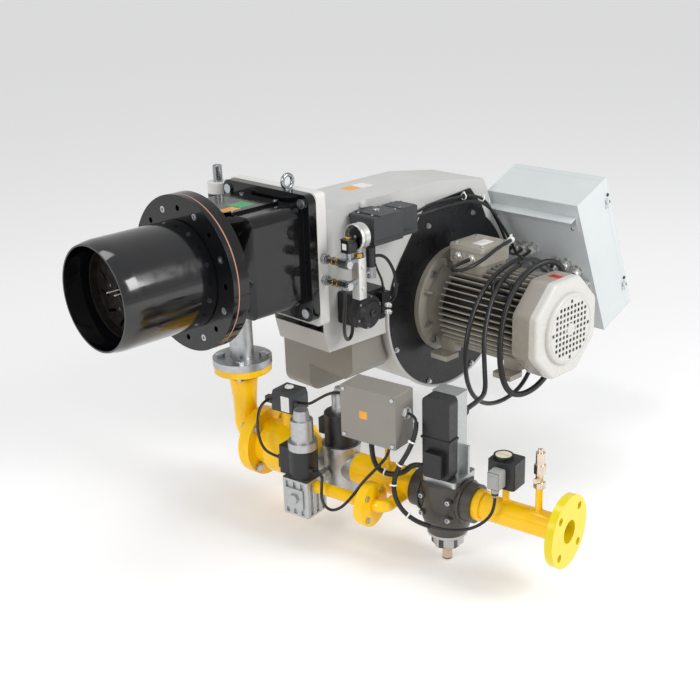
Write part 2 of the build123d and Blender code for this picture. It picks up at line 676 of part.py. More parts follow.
# Gas elbow from the stub flange to the butterfly valve
ELBOW_END = ELBOW_BEND
BUTTERFLY_START = ELBOW_END + TRAIN_FLANGE_THICKNESS
with BuildPart() as gas_elbow:
    with BuildSketch(flat(TRAIN_X, 0, STUB_FLANGE_BOTTOM)):
        Circle(STUB_FLANGE_RADIUS - 2)
        with PolarLocations(STUB_PCD / 2, 4, start_angle=45):
            Circle(TRAIN_BOLT_RADIUS + BODY_GAP, mode=Mode.SUBTRACT)
    extrude(amount=-STUB_FLANGE_THICKNESS)
    cone_top = STUB_FLANGE_BOTTOM - STUB_FLANGE_THICKNESS
    with BuildSketch(flat(TRAIN_X, 0, cone_top)):
        Circle(ELBOW_TOP_RADIUS)
    with BuildSketch(flat(TRAIN_X, 0, ELBOW_CONE_END)):
        Circle(GAS_PIPE_RADIUS)
    loft()
    with BuildLine() as elbow_path:
        FilletPolyline(
            (TRAIN_X, 0, ELBOW_CONE_END),
            (TRAIN_X, 0, TRAIN_Z),
            TRAIN.from_local_coords((0, -ELBOW_END - 1, TRAIN_Z)),
            radius=ELBOW_BEND,
        )
    with BuildSketch(flat(TRAIN_X, 0, ELBOW_CONE_END)):
        Circle(GAS_PIPE_RADIUS)
    sweep(path=elbow_path.line)
    with BuildSketch(upstream(ELBOW_END)):
        Circle(TRAIN_FLANGE_RADIUS)
        with PolarLocations(TRAIN_FLANGE_PCD / 2, 4, start_angle=45):
            Circle(TRAIN_BOLT_RADIUS + BODY_GAP, mode=Mode.SUBTRACT)
    extrude(amount=TRAIN_FLANGE_THICKNESS)
    with BuildSketch(flat(TRAIN_X, 0, ELBOW_CONE_END)):
        Circle(GAS_PIPE_RADIUS - GAS_PIPE_WALL)
    sweep(path=elbow_path.line, mode=Mode.SUBTRACT)
    with BuildSketch(flat(TRAIN_X, 0, STUB_FLANGE_BOTTOM)):
        Circle(GAS_PIPE_RADIUS - GAS_PIPE_WALL)
    extrude(amount=ELBOW_CONE_END - STUB_FLANGE_BOTTOM, mode=Mode.SUBTRACT)
    with BuildSketch(upstream(ELBOW_END)):
        Circle(GAS_PIPE_RADIUS - GAS_PIPE_WALL)
    extrude(amount=TRAIN_FLANGE_THICKNESS, mode=Mode.SUBTRACT)
save(gas_elbow.part, "gas_elbow")

# Butterfly valve body: flange, barrel, servo neck and outlet cone
SAFETY_SOCKET_END = SAFETY_S - SAFETY_TOP_RADIUS - 1
with BuildPart() as butterfly_body:
    with BuildSketch(upstream(BUTTERFLY_START)):
        Circle(TRAIN_FLANGE_RADIUS)
        with PolarLocations(TRAIN_FLANGE_PCD / 2, 4, start_angle=45):
            Circle(TRAIN_BOLT_RADIUS + BODY_GAP, mode=Mode.SUBTRACT)
    extrude(amount=TRAIN_FLANGE_THICKNESS)
    with BuildSketch(upstream(BUTTERFLY_START)):
        Circle(BUTTERFLY_NECK)
    extrude(amount=BUTTERFLY_END - BUTTERFLY_START)
    with BuildSketch(upstream(BUTTERFLY_SHAFT_S - 38)):
        Circle(BUTTERFLY_BARREL)
    extrude(amount=76)
    with BuildSketch(upstream(BUTTERFLY_END)):
        Circle(BUTTERFLY_NECK)
    with BuildSketch(upstream(BUTTERFLY_CONE_END - 12)):
        Circle(SAFETY_SOCKET_RADIUS)
    loft()
    with BuildSketch(upstream(BUTTERFLY_CONE_END - 12)):
        Circle(SAFETY_SOCKET_RADIUS)
    extrude(amount=12 - BODY_GAP)
    with BuildSketch(level(BUTTERFLY_SHAFT_S, 0, TRAIN_Z)):
        Circle(3 * SPINDLE_RADIUS)
    extrude(amount=BUTTERFLY_NECK_TOP - TRAIN_Z)
    with BuildSketch(upstream(BUTTERFLY_START)):
        Circle(GAS_PIPE_RADIUS)
    extrude(amount=BUTTERFLY_CONE_END, mode=Mode.SUBTRACT)
    with BuildSketch(upstream(BUTTERFLY_START + 2 * TRAIN_FLANGE_THICKNESS)):
        Circle(BUTTERFLY_BORE)
    extrude(amount=BUTTERFLY_END - BUTTERFLY_START - 2 * TRAIN_FLANGE_THICKNESS, mode=Mode.SUBTRACT)
    with BuildSketch(level(BUTTERFLY_SHAFT_S, 0, TRAIN_Z - BUTTERFLY_BORE - 6)):
        Circle(SPINDLE_RADIUS + SHAFT_FIT)
    extrude(amount=BUTTERFLY_NECK_TOP - TRAIN_Z + BUTTERFLY_BORE + 6, mode=Mode.SUBTRACT)
save(butterfly_body.part, "butterfly_body")

# Gas butterfly disc on its upright spindle, shut at rest
with BuildPart() as butterfly_disc:
    with BuildSketch(upstream(BUTTERFLY_SHAFT_S - 2)):
        Circle(BUTTERFLY_BORE - 2 * BODY_GAP)
    extrude(amount=4)
    with BuildSketch(level(BUTTERFLY_SHAFT_S, 0, TRAIN_Z - BUTTERFLY_BORE - 5)):
        Circle(SPINDLE_RADIUS)
    extrude(amount=BUTTERFLY_NECK_TOP - TRAIN_Z + BUTTERFLY_BORE + 5 + 20)
save(butterfly_disc.part, "butterfly_disc")

SERVO_TOP = BUTTERFLY_NECK_TOP + SERVO_HEIGHT
SERVO_PLUG_S = BUTTERFLY_SHAFT_S - SERVO_LENGTH / 2 - 8
SERVO_PLUG_DEPTH = 16
with BuildPart() as butterfly_servo:
    with BuildSketch(level(BUTTERFLY_SHAFT_S, 0, BUTTERFLY_NECK_TOP)):
        RectangleRounded(SERVO_WIDTH, SERVO_LENGTH, 6)
    extrude(amount=SERVO_HEIGHT - 14)
    with BuildSketch(level(BUTTERFLY_SHAFT_S, 0, SERVO_TOP - 14)):
        RectangleRounded(SERVO_WIDTH, SERVO_LENGTH, 6)
    extrude(amount=14, taper=18)
    with BuildSketch(level(BUTTERFLY_SHAFT_S, 0, SERVO_TOP)):
        Circle(11)
    extrude(amount=3)
    with BuildSketch(train_front(SERVO_PLUG_S, -SERVO_WIDTH / 4, BUTTERFLY_NECK_TOP + 24)):
        Rectangle(20, 16)
    extrude(amount=SERVO_PLUG_DEPTH)
    with BuildSketch(level(BUTTERFLY_SHAFT_S, 0, BUTTERFLY_NECK_TOP)):
        Circle(SPINDLE_RADIUS + SHAFT_FIT)
    extrude(amount=21, mode=Mode.SUBTRACT)
save(butterfly_servo.part, "butterfly_servo")

# Safety solenoid valve: tapered body with two sockets
with BuildPart() as safety_valve_body:
    with BuildSketch(level(SAFETY_S, 0, SAFETY_BOTTOM)):
        Circle(SAFETY_FOOT_RADIUS)
    with BuildSketch(level(SAFETY_S, 0, SAFETY_TOP - 10)):
        Circle(SAFETY_TOP_RADIUS - 2)
    loft()
    with BuildSketch(level(SAFETY_S, 0, SAFETY_TOP - 10)):
        Circle(SAFETY_TOP_RADIUS)
    extrude(amount=10)
    with BuildSketch(upstream(BUTTERFLY_CONE_END)):
        Circle(SAFETY_SOCKET_RADIUS)
    extrude(amount=2 * (SAFETY_S - BUTTERFLY_CONE_END))
    with BuildSketch(upstream(BUTTERFLY_CONE_END)):
        Circle(GAS_PIPE_RADIUS - GAS_PIPE_WALL)
    extrude(amount=2 * (SAFETY_S - BUTTERFLY_CONE_END), mode=Mode.SUBTRACT)
save(safety_valve_body.part, "safety_valve_body")

with BuildPart() as safety_valve_coil:
    with BuildSketch(level(SAFETY_S, 0, SAFETY_TOP)):
        Circle(SAFETY_FOOT_RADIUS)
    extrude(amount=SAFETY_COIL_TOP - SAFETY_TOP)
    fillet(safety_valve_coil.edges().group_by(Axis.Z)[-1], 4)
    with BuildSketch(level(SAFETY_S - SAFETY_FOOT_RADIUS, -6, SAFETY_TOP + 18)):
        Rectangle(26, 26)
    extrude(amount=40)
save(safety_valve_coil.part, "safety_valve_coil")

# Die-cast caps of the two solenoid valves
with BuildPart() as solenoid_caps:
    for s, x, bottom, top, wide, narrow in (
        (SAFETY_S, 0, SAFETY_COIL_TOP, SAFETY_CAP_TOP, 21, 18),
        (PILOT_VALVE_S, PILOT_X, PILOT_COIL_TOP, PILOT_CAP_TOP, PILOT_COIL_RADIUS, 25),
    ):
        shoulder = bottom + (top - bottom) / 5
        with BuildSketch(level(s, x, bottom)):
            Circle(wide)
        extrude(amount=shoulder - bottom)
        with BuildSketch(level(s, x, shoulder)):
            Circle(narrow + 2)
        extrude(amount=(top - shoulder) * 0.7)
        with BuildSketch(level(s, x, shoulder + (top - shoulder) * 0.7)):
            Circle(narrow - 4)
        extrude(amount=(top - shoulder) * 0.3, taper=10)
save(solenoid_caps.part, "solenoid_caps")

# Main pipe, its tee for the pilot line and the post of the junction box
SAFETY_FAR_END = 2 * SAFETY_S - BUTTERFLY_CONE_END
TEE_S = PILOT_JOINT_S + PILOT_FLANGE_THICKNESS + PILOT_BEND + 2
VALVE_START = VALVE_S - VALVE_HALF_LENGTH
with BuildPart() as main_pipe:
    with BuildSketch(upstream(SAFETY_FAR_END)):
        Circle(MAIN_PIPE_RADIUS)
    extrude(amount=VALVE_START - SAFETY_FAR_END)
    with BuildSketch(upstream(PILOT_JOINT_S, PILOT_X, PILOT_Z)):
        Circle(PILOT_FLANGE_RADIUS)
        with PolarLocations(PILOT_FLANGE_RADIUS - 13, 4, start_angle=45):
            Circle(TRAIN_BOLT_RADIUS - 3 + BODY_GAP, mode=Mode.SUBTRACT)
    extrude(amount=PILOT_FLANGE_THICKNESS)
    with BuildLine() as tee_path:
        FilletPolyline(
            TRAIN.from_local_coords((PILOT_X, -PILOT_JOINT_S, PILOT_Z)),
            TRAIN.from_local_coords((PILOT_X, -TEE_S, PILOT_Z)),
            TRAIN.from_local_coords((-MAIN_PIPE_RADIUS / 2, -TEE_S, PILOT_Z)),
            radius=PILOT_BEND,
        )
    with BuildSketch(upstream(PILOT_JOINT_S, PILOT_X, PILOT_Z)):
        Circle(PILOT_PIPE_RADIUS)
    sweep(path=tee_path.line)
    with BuildSketch(level(POST_S, POST_X, TRAIN_Z + MAIN_PIPE_RADIUS / 2)):
        Circle(POST_RADIUS)
    extrude(amount=BOX_BOTTOM - 3 - TRAIN_Z - MAIN_PIPE_RADIUS / 2)
    with BuildSketch(level(POST_S, POST_X, BOX_BOTTOM - 3)):
        Rectangle(30, 40)
    extrude(amount=3)
    with BuildSketch(upstream(SAFETY_FAR_END)):
        Circle(MAIN_PIPE_RADIUS - MAIN_PIPE_WALL)
    extrude(amount=VALVE_START - SAFETY_FAR_END, mode=Mode.SUBTRACT)
    with BuildSketch(upstream(PILOT_JOINT_S, PILOT_X, PILOT_Z)):
        Circle(PILOT_PIPE_RADIUS - 3)
    sweep(path=tee_path.line, mode=Mode.SUBTRACT)
save(main_pipe.part, "main_pipe")

PILOT_VALVE_SIDE = PILOT_VALVE_S + PILOT_BASE_SIZE / 2
with BuildPart() as pilot_pipe:
    with BuildSketch(upstream(PILOT_VALVE_SIDE, PILOT_X, PILOT_Z)):
        Circle(PILOT_PIPE_RADIUS)
    extrude(amount=PILOT_JOINT_S - PILOT_VALVE_SIDE)
    with BuildSketch(upstream(PILOT_JOINT_S - PILOT_FLANGE_THICKNESS, PILOT_X, PILOT_Z)):
        Circle(PILOT_FLANGE_RADIUS)
        with PolarLocations(PILOT_FLANGE_RADIUS - 13, 4, start_angle=45):
            Circle(TRAIN_BOLT_RADIUS - 3 + BODY_GAP, mode=Mode.SUBTRACT)
    extrude(amount=PILOT_FLANGE_THICKNESS)
    with BuildSketch(upstream(PILOT_VALVE_SIDE, PILOT_X, PILOT_Z)):
        Circle(PILOT_PIPE_RADIUS - 3)
    extrude(amount=PILOT_JOINT_S - PILOT_VALVE_SIDE, mode=Mode.SUBTRACT)
save(pilot_pipe.part, "pilot_pipe")

# Pilot solenoid valve: ribbed die-cast base with a square port plate
with BuildPart() as pilot_valve_body:
    with BuildSketch(level(PILOT_VALVE_S, PILOT_X, PILOT_BASE_BOTTOM)):
        RectangleRounded(PILOT_BASE_SIZE, PILOT_BASE_SIZE, 6)
    extrude(amount=PILOT_BASE_TOP - PILOT_BASE_BOTTOM)
    with BuildSketch(level(PILOT_VALVE_S, PILOT_X, PILOT_BASE_BOTTOM + 5)):
        with GridLocations(22, PILOT_BASE_SIZE, 3, 2):
            Rectangle(9, 8)
        with GridLocations(PILOT_BASE_SIZE, 22, 2, 3):
            Rectangle(8, 9)
    extrude(amount=PILOT_BASE_TOP - PILOT_BASE_BOTTOM - 10, mode=Mode.SUBTRACT)
    port_x = PILOT_X - PILOT_BASE_SIZE / 2 + 4
    port_z = (PILOT_BASE_BOTTOM + PILOT_BASE_TOP) / 2
    with BuildSketch(train_front(PILOT_VALVE_S, port_x, port_z)):
        RectangleRounded(52, 52, 4)
    extrude(amount=8)
    with BuildSketch(train_front(PILOT_VALVE_S, port_x, port_z)):
        RegularPolygon(13, 6)
    extrude(amount=14)
    with BuildSketch(upstream(PILOT_VALVE_S, PILOT_X, PILOT_Z)):
        Circle(PILOT_PIPE_RADIUS + 5)
    extrude(amount=PILOT_BASE_SIZE / 2)
    outlet_reach = -PILOT_X - SAFETY_TOP_RADIUS + 4
    with BuildSketch(train_front(PILOT_VALVE_S + 22, PILOT_X, PILOT_Z + 5)):
        Circle(PILOT_PIPE_RADIUS)
    extrude(amount=-outlet_reach - 12)
    with BuildSketch(level(SAFETY_S, 0, SAFETY_BOTTOM - 1)):
        Circle(SAFETY_TOP_RADIUS + BODY_GAP)
    extrude(amount=SAFETY_TOP - SAFETY_BOTTOM, mode=Mode.SUBTRACT)
save(pilot_valve_body.part, "pilot_valve_body")

with BuildPart() as pilot_valve_coil:
    with BuildSketch(level(PILOT_VALVE_S, PILOT_X, PILOT_BASE_TOP)):
        Circle(PILOT_COIL_RADIUS)
        with Locations((0, PILOT_COIL_RADIUS)):
            RectangleRounded(44, 44, 4)
    extrude(amount=PILOT_COIL_TOP - PILOT_BASE_TOP)
    with BuildSketch(level(PILOT_VALVE_S - PILOT_COIL_RADIUS - 22, PILOT_X, PILOT_BASE_TOP + 8)):
        Rectangle(30, 16)
    extrude(amount=34)
    with BuildSketch(upstream(PILOT_VALVE_S, PILOT_X - 15, PILOT_BASE_TOP + 26)):
        Circle(7)
    extrude(amount=PILOT_LEAD_S - PILOT_VALVE_S)
save(pilot_valve_coil.part, "pilot_valve_coil")

# Main gas valve: barrel with threaded collars, upright body, lower cap and drain plug
VALVE_END = VALVE_S + VALVE_HALF_LENGTH
with BuildPart() as main_valve_body:
    with BuildSketch(upstream(VALVE_START)):
        Circle(VALVE_COLLAR_RADIUS)
    extrude(amount=2 * VALVE_HALF_LENGTH)
    for s in (VALVE_START + 24, VALVE_END - 30):
        with BuildSketch(upstream(s)):
            Circle(VALVE_COLLAR_RADIUS + 5)
        extrude(amount=6)
    with BuildSketch(level(VALVE_S, 0, VALVE_BODY_BOTTOM)):
        Circle(VALVE_BODY_RADIUS - 14)
    with BuildSketch(level(VALVE_S, 0, TRAIN_Z - VALVE_COLLAR_RADIUS)):
        Circle(VALVE_BODY_RADIUS)
    loft()
    with BuildSketch(level(VALVE_S, 0, TRAIN_Z - VALVE_COLLAR_RADIUS)):
        Circle(VALVE_BODY_RADIUS)
    extrude(amount=VALVE_BODY_TOP - TRAIN_Z + VALVE_COLLAR_RADIUS)
    with BuildSketch(level(VALVE_S, 0, VALVE_CAP_BOTTOM)):
        RegularPolygon(VALVE_CAVITY_RADIUS + 4, 6)
    extrude(amount=VALVE_BODY_BOTTOM - VALVE_CAP_BOTTOM)
    with BuildSketch(level(VALVE_S, 0, VALVE_PLUG_BOTTOM)):
        Circle(11)
    extrude(amount=VALVE_CAP_BOTTOM - VALVE_PLUG_BOTTOM)
    with BuildSketch(train_front(VALVE_S, 0, TRAIN_Z - 8)):
        with GridLocations(70, 44, 2, 2):
            Circle(7)
    extrude(amount=VALVE_BODY_RADIUS - 4)
    # Chambers above and below the seat, and the ways into them
    seat_top = TRAIN_Z + 4
    with BuildSketch(level(VALVE_S, 0, seat_top)):
        Circle(VALVE_CAVITY_RADIUS)
    extrude(amount=VALVE_BODY_TOP - 6 - seat_top, mode=Mode.SUBTRACT)
    with BuildSketch(level(VALVE_S, 0, VALVE_BODY_BOTTOM + 8)):
        Circle(VALVE_CAVITY_RADIUS)
    extrude(amount=TRAIN_Z - 4 - VALVE_BODY_BOTTOM - 8, mode=Mode.SUBTRACT)
    with BuildSketch(level(VALVE_S, 0, TRAIN_Z - 5)):
        Circle(VALVE_SEAT_RADIUS)
    extrude(amount=10, mode=Mode.SUBTRACT)
    passage = VALVE_HALF_LENGTH - VALVE_CAVITY_RADIUS - 4
    for s in (VALVE_START, VALVE_END - passage):
        with BuildSketch(upstream(s)):
            Circle(VALVE_BORE)
        extrude(amount=passage, mode=Mode.SUBTRACT)
    for s, z in ((VALVE_START + passage - 6, TRAIN_Z + 13), (VALVE_END - passage - 10, TRAIN_Z - 13)):
        with BuildSketch(upstream(s, 0, z)):
            Rectangle(26, 14)
        extrude(amount=16, mode=Mode.SUBTRACT)
    with BuildSketch(level(VALVE_S, 0, VALVE_BODY_TOP - 7)):
        Circle(STEM_RADIUS + SHAFT_FIT)
    extrude(amount=8, mode=Mode.SUBTRACT)
save(main_valve_body.part, "main_valve_body")

# Valve disc and stem: the actuator lifts them off the seat
with BuildPart() as valve_stem:
    with BuildSketch(level(VALVE_S, 0, TRAIN_Z + 4 + BODY_GAP)):
        Circle(VALVE_CAVITY_RADIUS - 4)
    extrude(amount=6)
    with BuildSketch(level(VALVE_S, 0, TRAIN_Z + 4 + BODY_GAP)):
        Circle(STEM_RADIUS)
    extrude(amount=VALVE_BODY_TOP + 24 - TRAIN_Z - 4 - BODY_GAP)
save(valve_stem.part, "valve_stem")

ACTUATOR_FOOT_TOP = VALVE_BODY_TOP + 14
ACTUATOR_SPLIT_X = -8
ACTUATOR_REAR_X = ACTUATOR_SPLIT_X + ACTUATOR_FRAME_DEPTH
with BuildPart() as actuator_frame:
    with BuildSketch(level(VALVE_S + 2, 2, VALVE_BODY_TOP)):
        RectangleRounded(92, 88, 8)
    extrude(amount=14)
    frame_x = ACTUATOR_SPLIT_X + ACTUATOR_FRAME_DEPTH / 2
    with BuildSketch(train_front(ACTUATOR_S, ACTUATOR_REAR_X, ACTUATOR_SOCKET_Z)):
        Circle(PLUG_RADIUS - 2)
    extrude(amount=-SOCKET_RISE)
    with BuildSketch(level(ACTUATOR_S, frame_x, ACTUATOR_FOOT_TOP)):
        RectangleRounded(ACTUATOR_FRAME_DEPTH, ACTUATOR_WIDTH, 5)
    extrude(amount=ACTUATOR_TOP - ACTUATOR_FOOT_TOP)
    with BuildSketch(level(ACTUATOR_S + ACTUATOR_WIDTH / 2, frame_x, ACTUATOR_FOOT_TOP)):
        Rectangle(8, 36)
    extrude(amount=70)
    with BuildSketch(level(VALVE_S, 0, VALVE_BODY_TOP - 1)):
        Circle(STEM_RADIUS + 2)
    extrude(amount=25 + VALVE_LIFT + 4, mode=Mode.SUBTRACT)
save(actuator_frame.part, "actuator_frame")

# Black actuator cover with a domed top and the connector box at its foot
with BuildPart() as actuator_cover:
    with BuildSketch(train_front(ACTUATOR_S, ACTUATOR_SPLIT_X, ACTUATOR_FOOT_TOP)):
        with Locations((0, (ACTUATOR_TOP - ACTUATOR_FOOT_TOP) / 2)):
            RectangleRounded(ACTUATOR_WIDTH + 4, ACTUATOR_TOP - ACTUATOR_FOOT_TOP, 14)
    extrude(amount=ACTUATOR_COVER_DEPTH)
    with BuildSketch(train_front(ACTUATOR_S, ACTUATOR_SPLIT_X, ACTUATOR_FOOT_TOP + 38)):
        RectangleRounded(ACTUATOR_WIDTH - 20, 60, 5)
    extrude(amount=ACTUATOR_COVER_DEPTH + 16)
    with BuildSketch(train_front(ACTUATOR_S, ACTUATOR_SPLIT_X, ACTUATOR_FOOT_TOP + 96)):
        Rectangle(ACTUATOR_WIDTH + 10, 5)
    extrude(amount=ACTUATOR_COVER_DEPTH + 2)
    with BuildSketch(level(VALVE_S, 0, VALVE_BODY_TOP - 1)):
        Circle(STEM_RADIUS + 2)
    extrude(amount=25 + VALVE_LIFT + 4, mode=Mode.SUBTRACT)
save(actuator_cover.part, "actuator_cover")

# Inlet spool with the gas inlet flange and two upright stubs
INLET_FLANGE_BACK = INLET_FLANGE_S - INLET_FLANGE_THICKNESS
with BuildPart() as inlet_spool:
    with BuildSketch(upstream(VALVE_END)):
        Circle(SPOOL_RADIUS)
    extrude(amount=INLET_FLANGE_S - VALVE_END)
    with BuildSketch(upstream(VALVE_END)):
        Circle(SPOOL_RADIUS + 6)
    extrude(amount=18)
    for s, top in ((SWITCH_STUB_S, SWITCH_STUB_TOP), (COCK_STUB_S, COCK_STUB_TOP)):
        with BuildSketch(level(s, 0, TRAIN_Z)):
            Circle(STUB_PIPE_RADIUS)
        extrude(amount=top - TRAIN_Z)
    with BuildSketch(upstream(INLET_FLANGE_BACK)):
        Circle(INLET_FLANGE_RADIUS)
        with PolarLocations(INLET_PCD / 2, 4, start_angle=45):
            Circle(INLET_HOLE_RADIUS, mode=Mode.SUBTRACT)
    extrude(amount=INLET_FLANGE_THICKNESS)
    with BuildSketch(upstream(VALVE_END)):
        Circle(SPOOL_BORE)
    extrude(amount=INLET_FLANGE_S - VALVE_END, mode=Mode.SUBTRACT)
    for s, top in ((SWITCH_STUB_S, SWITCH_STUB_TOP), (COCK_STUB_S, COCK_STUB_TOP)):
        with BuildSketch(level(s, 0, TRAIN_Z)):
            Circle(STUB_PIPE_RADIUS - 3)
        extrude(amount=top - TRAIN_Z, mode=Mode.SUBTRACT)
save(inlet_spool.part, "inlet_spool")

# Gas pressure switch with its cable plug, and the turning dial on top
SWITCH_TOP = SWITCH_STUB_TOP + SWITCH_HEIGHT
PLUG_X = -SWITCH_DEPTH / 2
with BuildPart() as gas_pressure_switch:
    with BuildSketch(level(SWITCH_STUB_S, 0, SWITCH_STUB_TOP)):
        RectangleRounded(SWITCH_DEPTH, SWITCH_WIDTH, 7)
    extrude(amount=SWITCH_HEIGHT)
    with BuildSketch(level(SWITCH_STUB_S - 8, 0, SWITCH_TOP)):
        Circle(DIAL_RADIUS + 4)
        Circle(DIAL_RADIUS + BODY_GAP, mode=Mode.SUBTRACT)
    extrude(amount=7)
    with BuildSketch(train_front(SWITCH_STUB_S - 2, PLUG_X, SWITCH_TOP - 34)):
        RectangleRounded(28, 40, 3)
    extrude(amount=28)
    with BuildSketch(level(SWITCH_STUB_S - 2, PLUG_X - 18, SWITCH_TOP - 70)):
        Circle(8)
    extrude(amount=20)
save(gas_pressure_switch.part, "gas_pressure_switch")

with BuildPart() as switch_dial:
    with BuildSketch(level(SWITCH_STUB_S - 8, 0, SWITCH_TOP + BODY_GAP)):
        Circle(DIAL_RADIUS)
    extrude(amount=6)
    with BuildSketch(level(SWITCH_STUB_S - 8, 0, SWITCH_TOP + 7)):
        Rectangle(3, 1.6 * DIAL_RADIUS)
    extrude(amount=-2, mode=Mode.SUBTRACT)
save(switch_dial.part, "switch_dial")

# Test cock on the second stub, and the button that opens it
COCK_HEX = 13
COCK_TOP = COCK_STUB_TOP + 84
with BuildPart() as test_cock:
    for bottom, top, radius, sides in (
        (0, 14, COCK_HEX, 6),
        (14, 34, 9, 0),
        (34, 56, COCK_HEX, 6),
        (56, 84, 10, 0),
    ):
        with BuildSketch(level(COCK_STUB_S, 0, COCK_STUB_TOP + bottom)):
            if sides:
                RegularPolygon(radius, sides)
            else:
                Circle(radius)
        extrude(amount=top - bottom)
    with BuildSketch(train_front(COCK_STUB_S, 0, COCK_STUB_TOP + 24)):
        Circle(6)
    extrude(amount=22)
    with BuildSketch(level(COCK_STUB_S, 0, COCK_TOP)):
        Circle(6 + SHAFT_FIT)
    extrude(amount=-COCK_TRAVEL - 12, mode=Mode.SUBTRACT)
save(test_cock.part, "test_cock")

with BuildPart() as test_cock_button:
    with BuildSketch(level(COCK_STUB_S, 0, COCK_TOP - 12)):
        Circle(6)
    extrude(amount=12 + COCK_TRAVEL + 4)
    fillet(test_cock_button.edges().group_by(Axis.Z)[-1], 1.5)
save(test_cock_button.part, "test_cock_button")

# Junction box: sheet body open to the flame side, and its lid with four screws
BOX_LENGTH = BOX_RIGHT - BOX_LEFT
BOX_HEIGHT = BOX_TOP - BOX_BOTTOM
BOX_MID_S = (BOX_LEFT + BOX_RIGHT) / 2
BOX_MID_Z = (BOX_TOP + BOX_BOTTOM) / 2
BOX_MOUTH = BOX_FRONT + SHEET
with BuildPart() as junction_box:
    with BuildSketch(train_front(BOX_MID_S, BOX_MOUTH, BOX_MID_Z)):
        RectangleRounded(BOX_LENGTH, BOX_HEIGHT, 3)
    extrude(amount=-BOX_DEPTH)
    with BuildSketch(train_front(BOX_MID_S, BOX_MOUTH, BOX_MID_Z)):
        RectangleRounded(BOX_LENGTH - 2 * BOX_WALL, BOX_HEIGHT - 2 * BOX_WALL, 1)
    extrude(amount=-BOX_DEPTH + BOX_WALL, mode=Mode.SUBTRACT)
    # Corner posts that take the lid screws, then the cable glands
    with BuildSketch(train_front(BOX_MID_S, BOX_MOUTH, BOX_MID_Z)):
        with GridLocations(BOX_LENGTH - 18, BOX_HEIGHT - 18, 2, 2):
            Rectangle(14, 14)
    extrude(amount=-BOX_DEPTH + BOX_WALL / 2)
    with BuildSketch(upstream(BOX_RIGHT, -44, -268)):
        Circle(12)
    extrude(amount=7)
    for s in (BOX_LEFT + 62, BOX_LEFT + 112):
        with BuildSketch(level(s, -52, BOX_BOTTOM)):
            Circle(11)
        extrude(amount=-8)
    with BuildSketch(upstream(BOX_LEFT, -40, -262)):
        Circle(9)
    extrude(amount=-8)
    with BuildSketch(train_front(BOX_MID_S, BOX_MOUTH, BOX_MID_Z)):
        with GridLocations(BOX_LENGTH - 18, BOX_HEIGHT - 18, 2, 2):
            Circle(2.5 + SHAFT_FIT)
    extrude(amount=-14, mode=Mode.SUBTRACT)
save(junction_box.part, "junction_box")

with BuildPart() as junction_box_lid:
    with BuildSketch(train_front(BOX_MID_S, BOX_MOUTH, BOX_MID_Z)):
        RectangleRounded(BOX_LENGTH, BOX_HEIGHT, 3)
    extrude(amount=SHEET)
    with BuildSketch(train_front(BOX_MID_S, BOX_FRONT, BOX_MID_Z)):
        with GridLocations(BOX_LENGTH - 18, BOX_HEIGHT - 18, 2, 2):
            Circle(5)
    extrude(amount=2.5)
    with BuildSketch(train_front(BOX_MID_S, BOX_MOUTH, BOX_MID_Z)):
        with GridLocations(BOX_LENGTH - 18, BOX_HEIGHT - 18, 2, 2):
            Circle(2.5)
    extrude(amount=-12)
save(junction_box_lid.part, "junction_box_lid")

# Bolts of the gas line: stub flange, butterfly flange and pilot flange pairs
with BuildPart() as train_bolts:
    bolt_groups = (
        (flat(TRAIN_X, 0, STUB_FLANGE_BOTTOM - STUB_FLANGE_THICKNESS), STUB_PCD / 2, TRAIN_BOLT_RADIUS,
         2 * STUB_FLANGE_THICKNESS),
        (upstream(ELBOW_END), TRAIN_FLANGE_PCD / 2, TRAIN_BOLT_RADIUS, 2 * TRAIN_FLANGE_THICKNESS),
        (upstream(PILOT_JOINT_S - PILOT_FLANGE_THICKNESS, PILOT_X, PILOT_Z),
         PILOT_FLANGE_RADIUS - 13, TRAIN_BOLT_RADIUS - 3, 2 * PILOT_FLANGE_THICKNESS),
    )
    for plane, circle, radius, grip in bolt_groups:
        with BuildSketch(plane):
            with PolarLocations(circle, 4, start_angle=45):
                Circle(radius)
        extrude(amount=grip)
        with BuildSketch(plane):
            with PolarLocations(circle, 4, start_angle=45):
                RegularPolygon(1.5 * radius, 6)
        extrude(amount=-radius)
        with BuildSketch(plane.offset(grip)):
            with PolarLocations(circle, 4, start_angle=45):
                RegularPolygon(1.5 * radius, 6)
        extrude(amount=radius)
fasteners = Compound(label="fasteners", children=[head_screws.part, train_bolts.part])
export_step(fasteners, "parts/fasteners.step")

# Mounting plate of the fan unit, with its air passage and two moving knuckles
with BuildPart() as mounting_plate:
    plate_height = PLATE_TOP - PLATE_BOTTOM
    with BuildSketch(rearward(PLATE_FRONT, 0, (PLATE_TOP + PLATE_BOTTOM) / 2)):
        RectangleRounded(2 * PLATE_HALF_WIDTH, plate_height, 12)
    extrude(amount=PLATE_THICKNESS)
    for bottom in FIXED_KNUCKLE_BOTTOMS:
        with BuildSketch(flat(0, 0, bottom + KNUCKLE_HEIGHT + BODY_GAP)):
            with Locations((HINGE_X, HINGE_Y)):
                Circle(KNUCKLE_RADIUS)
            with Locations((PLATE_FRONT + 9, (HINGE_Y + KNUCKLE_ARM) / 2 - 6)):
                Rectangle(18, HINGE_Y - KNUCKLE_ARM + 14)
        extrude(amount=KNUCKLE_HEIGHT)
    with BuildSketch(rearward(PLATE_FRONT, 0, 0)):
        RectangleRounded(2 * PASSAGE_HALF, 2 * PASSAGE_HALF - 20, 14)
    extrude(amount=PLATE_THICKNESS, mode=Mode.SUBTRACT)
    with BuildSketch(flat(HINGE_X, HINGE_Y, -KNUCKLE_TOP - 1)):
        Circle(HINGE_PIN_RADIUS + SHAFT_FIT)
    extrude(amount=2 * KNUCKLE_TOP + 2, mode=Mode.SUBTRACT)
save(mounting_plate.part, "mounting_plate")

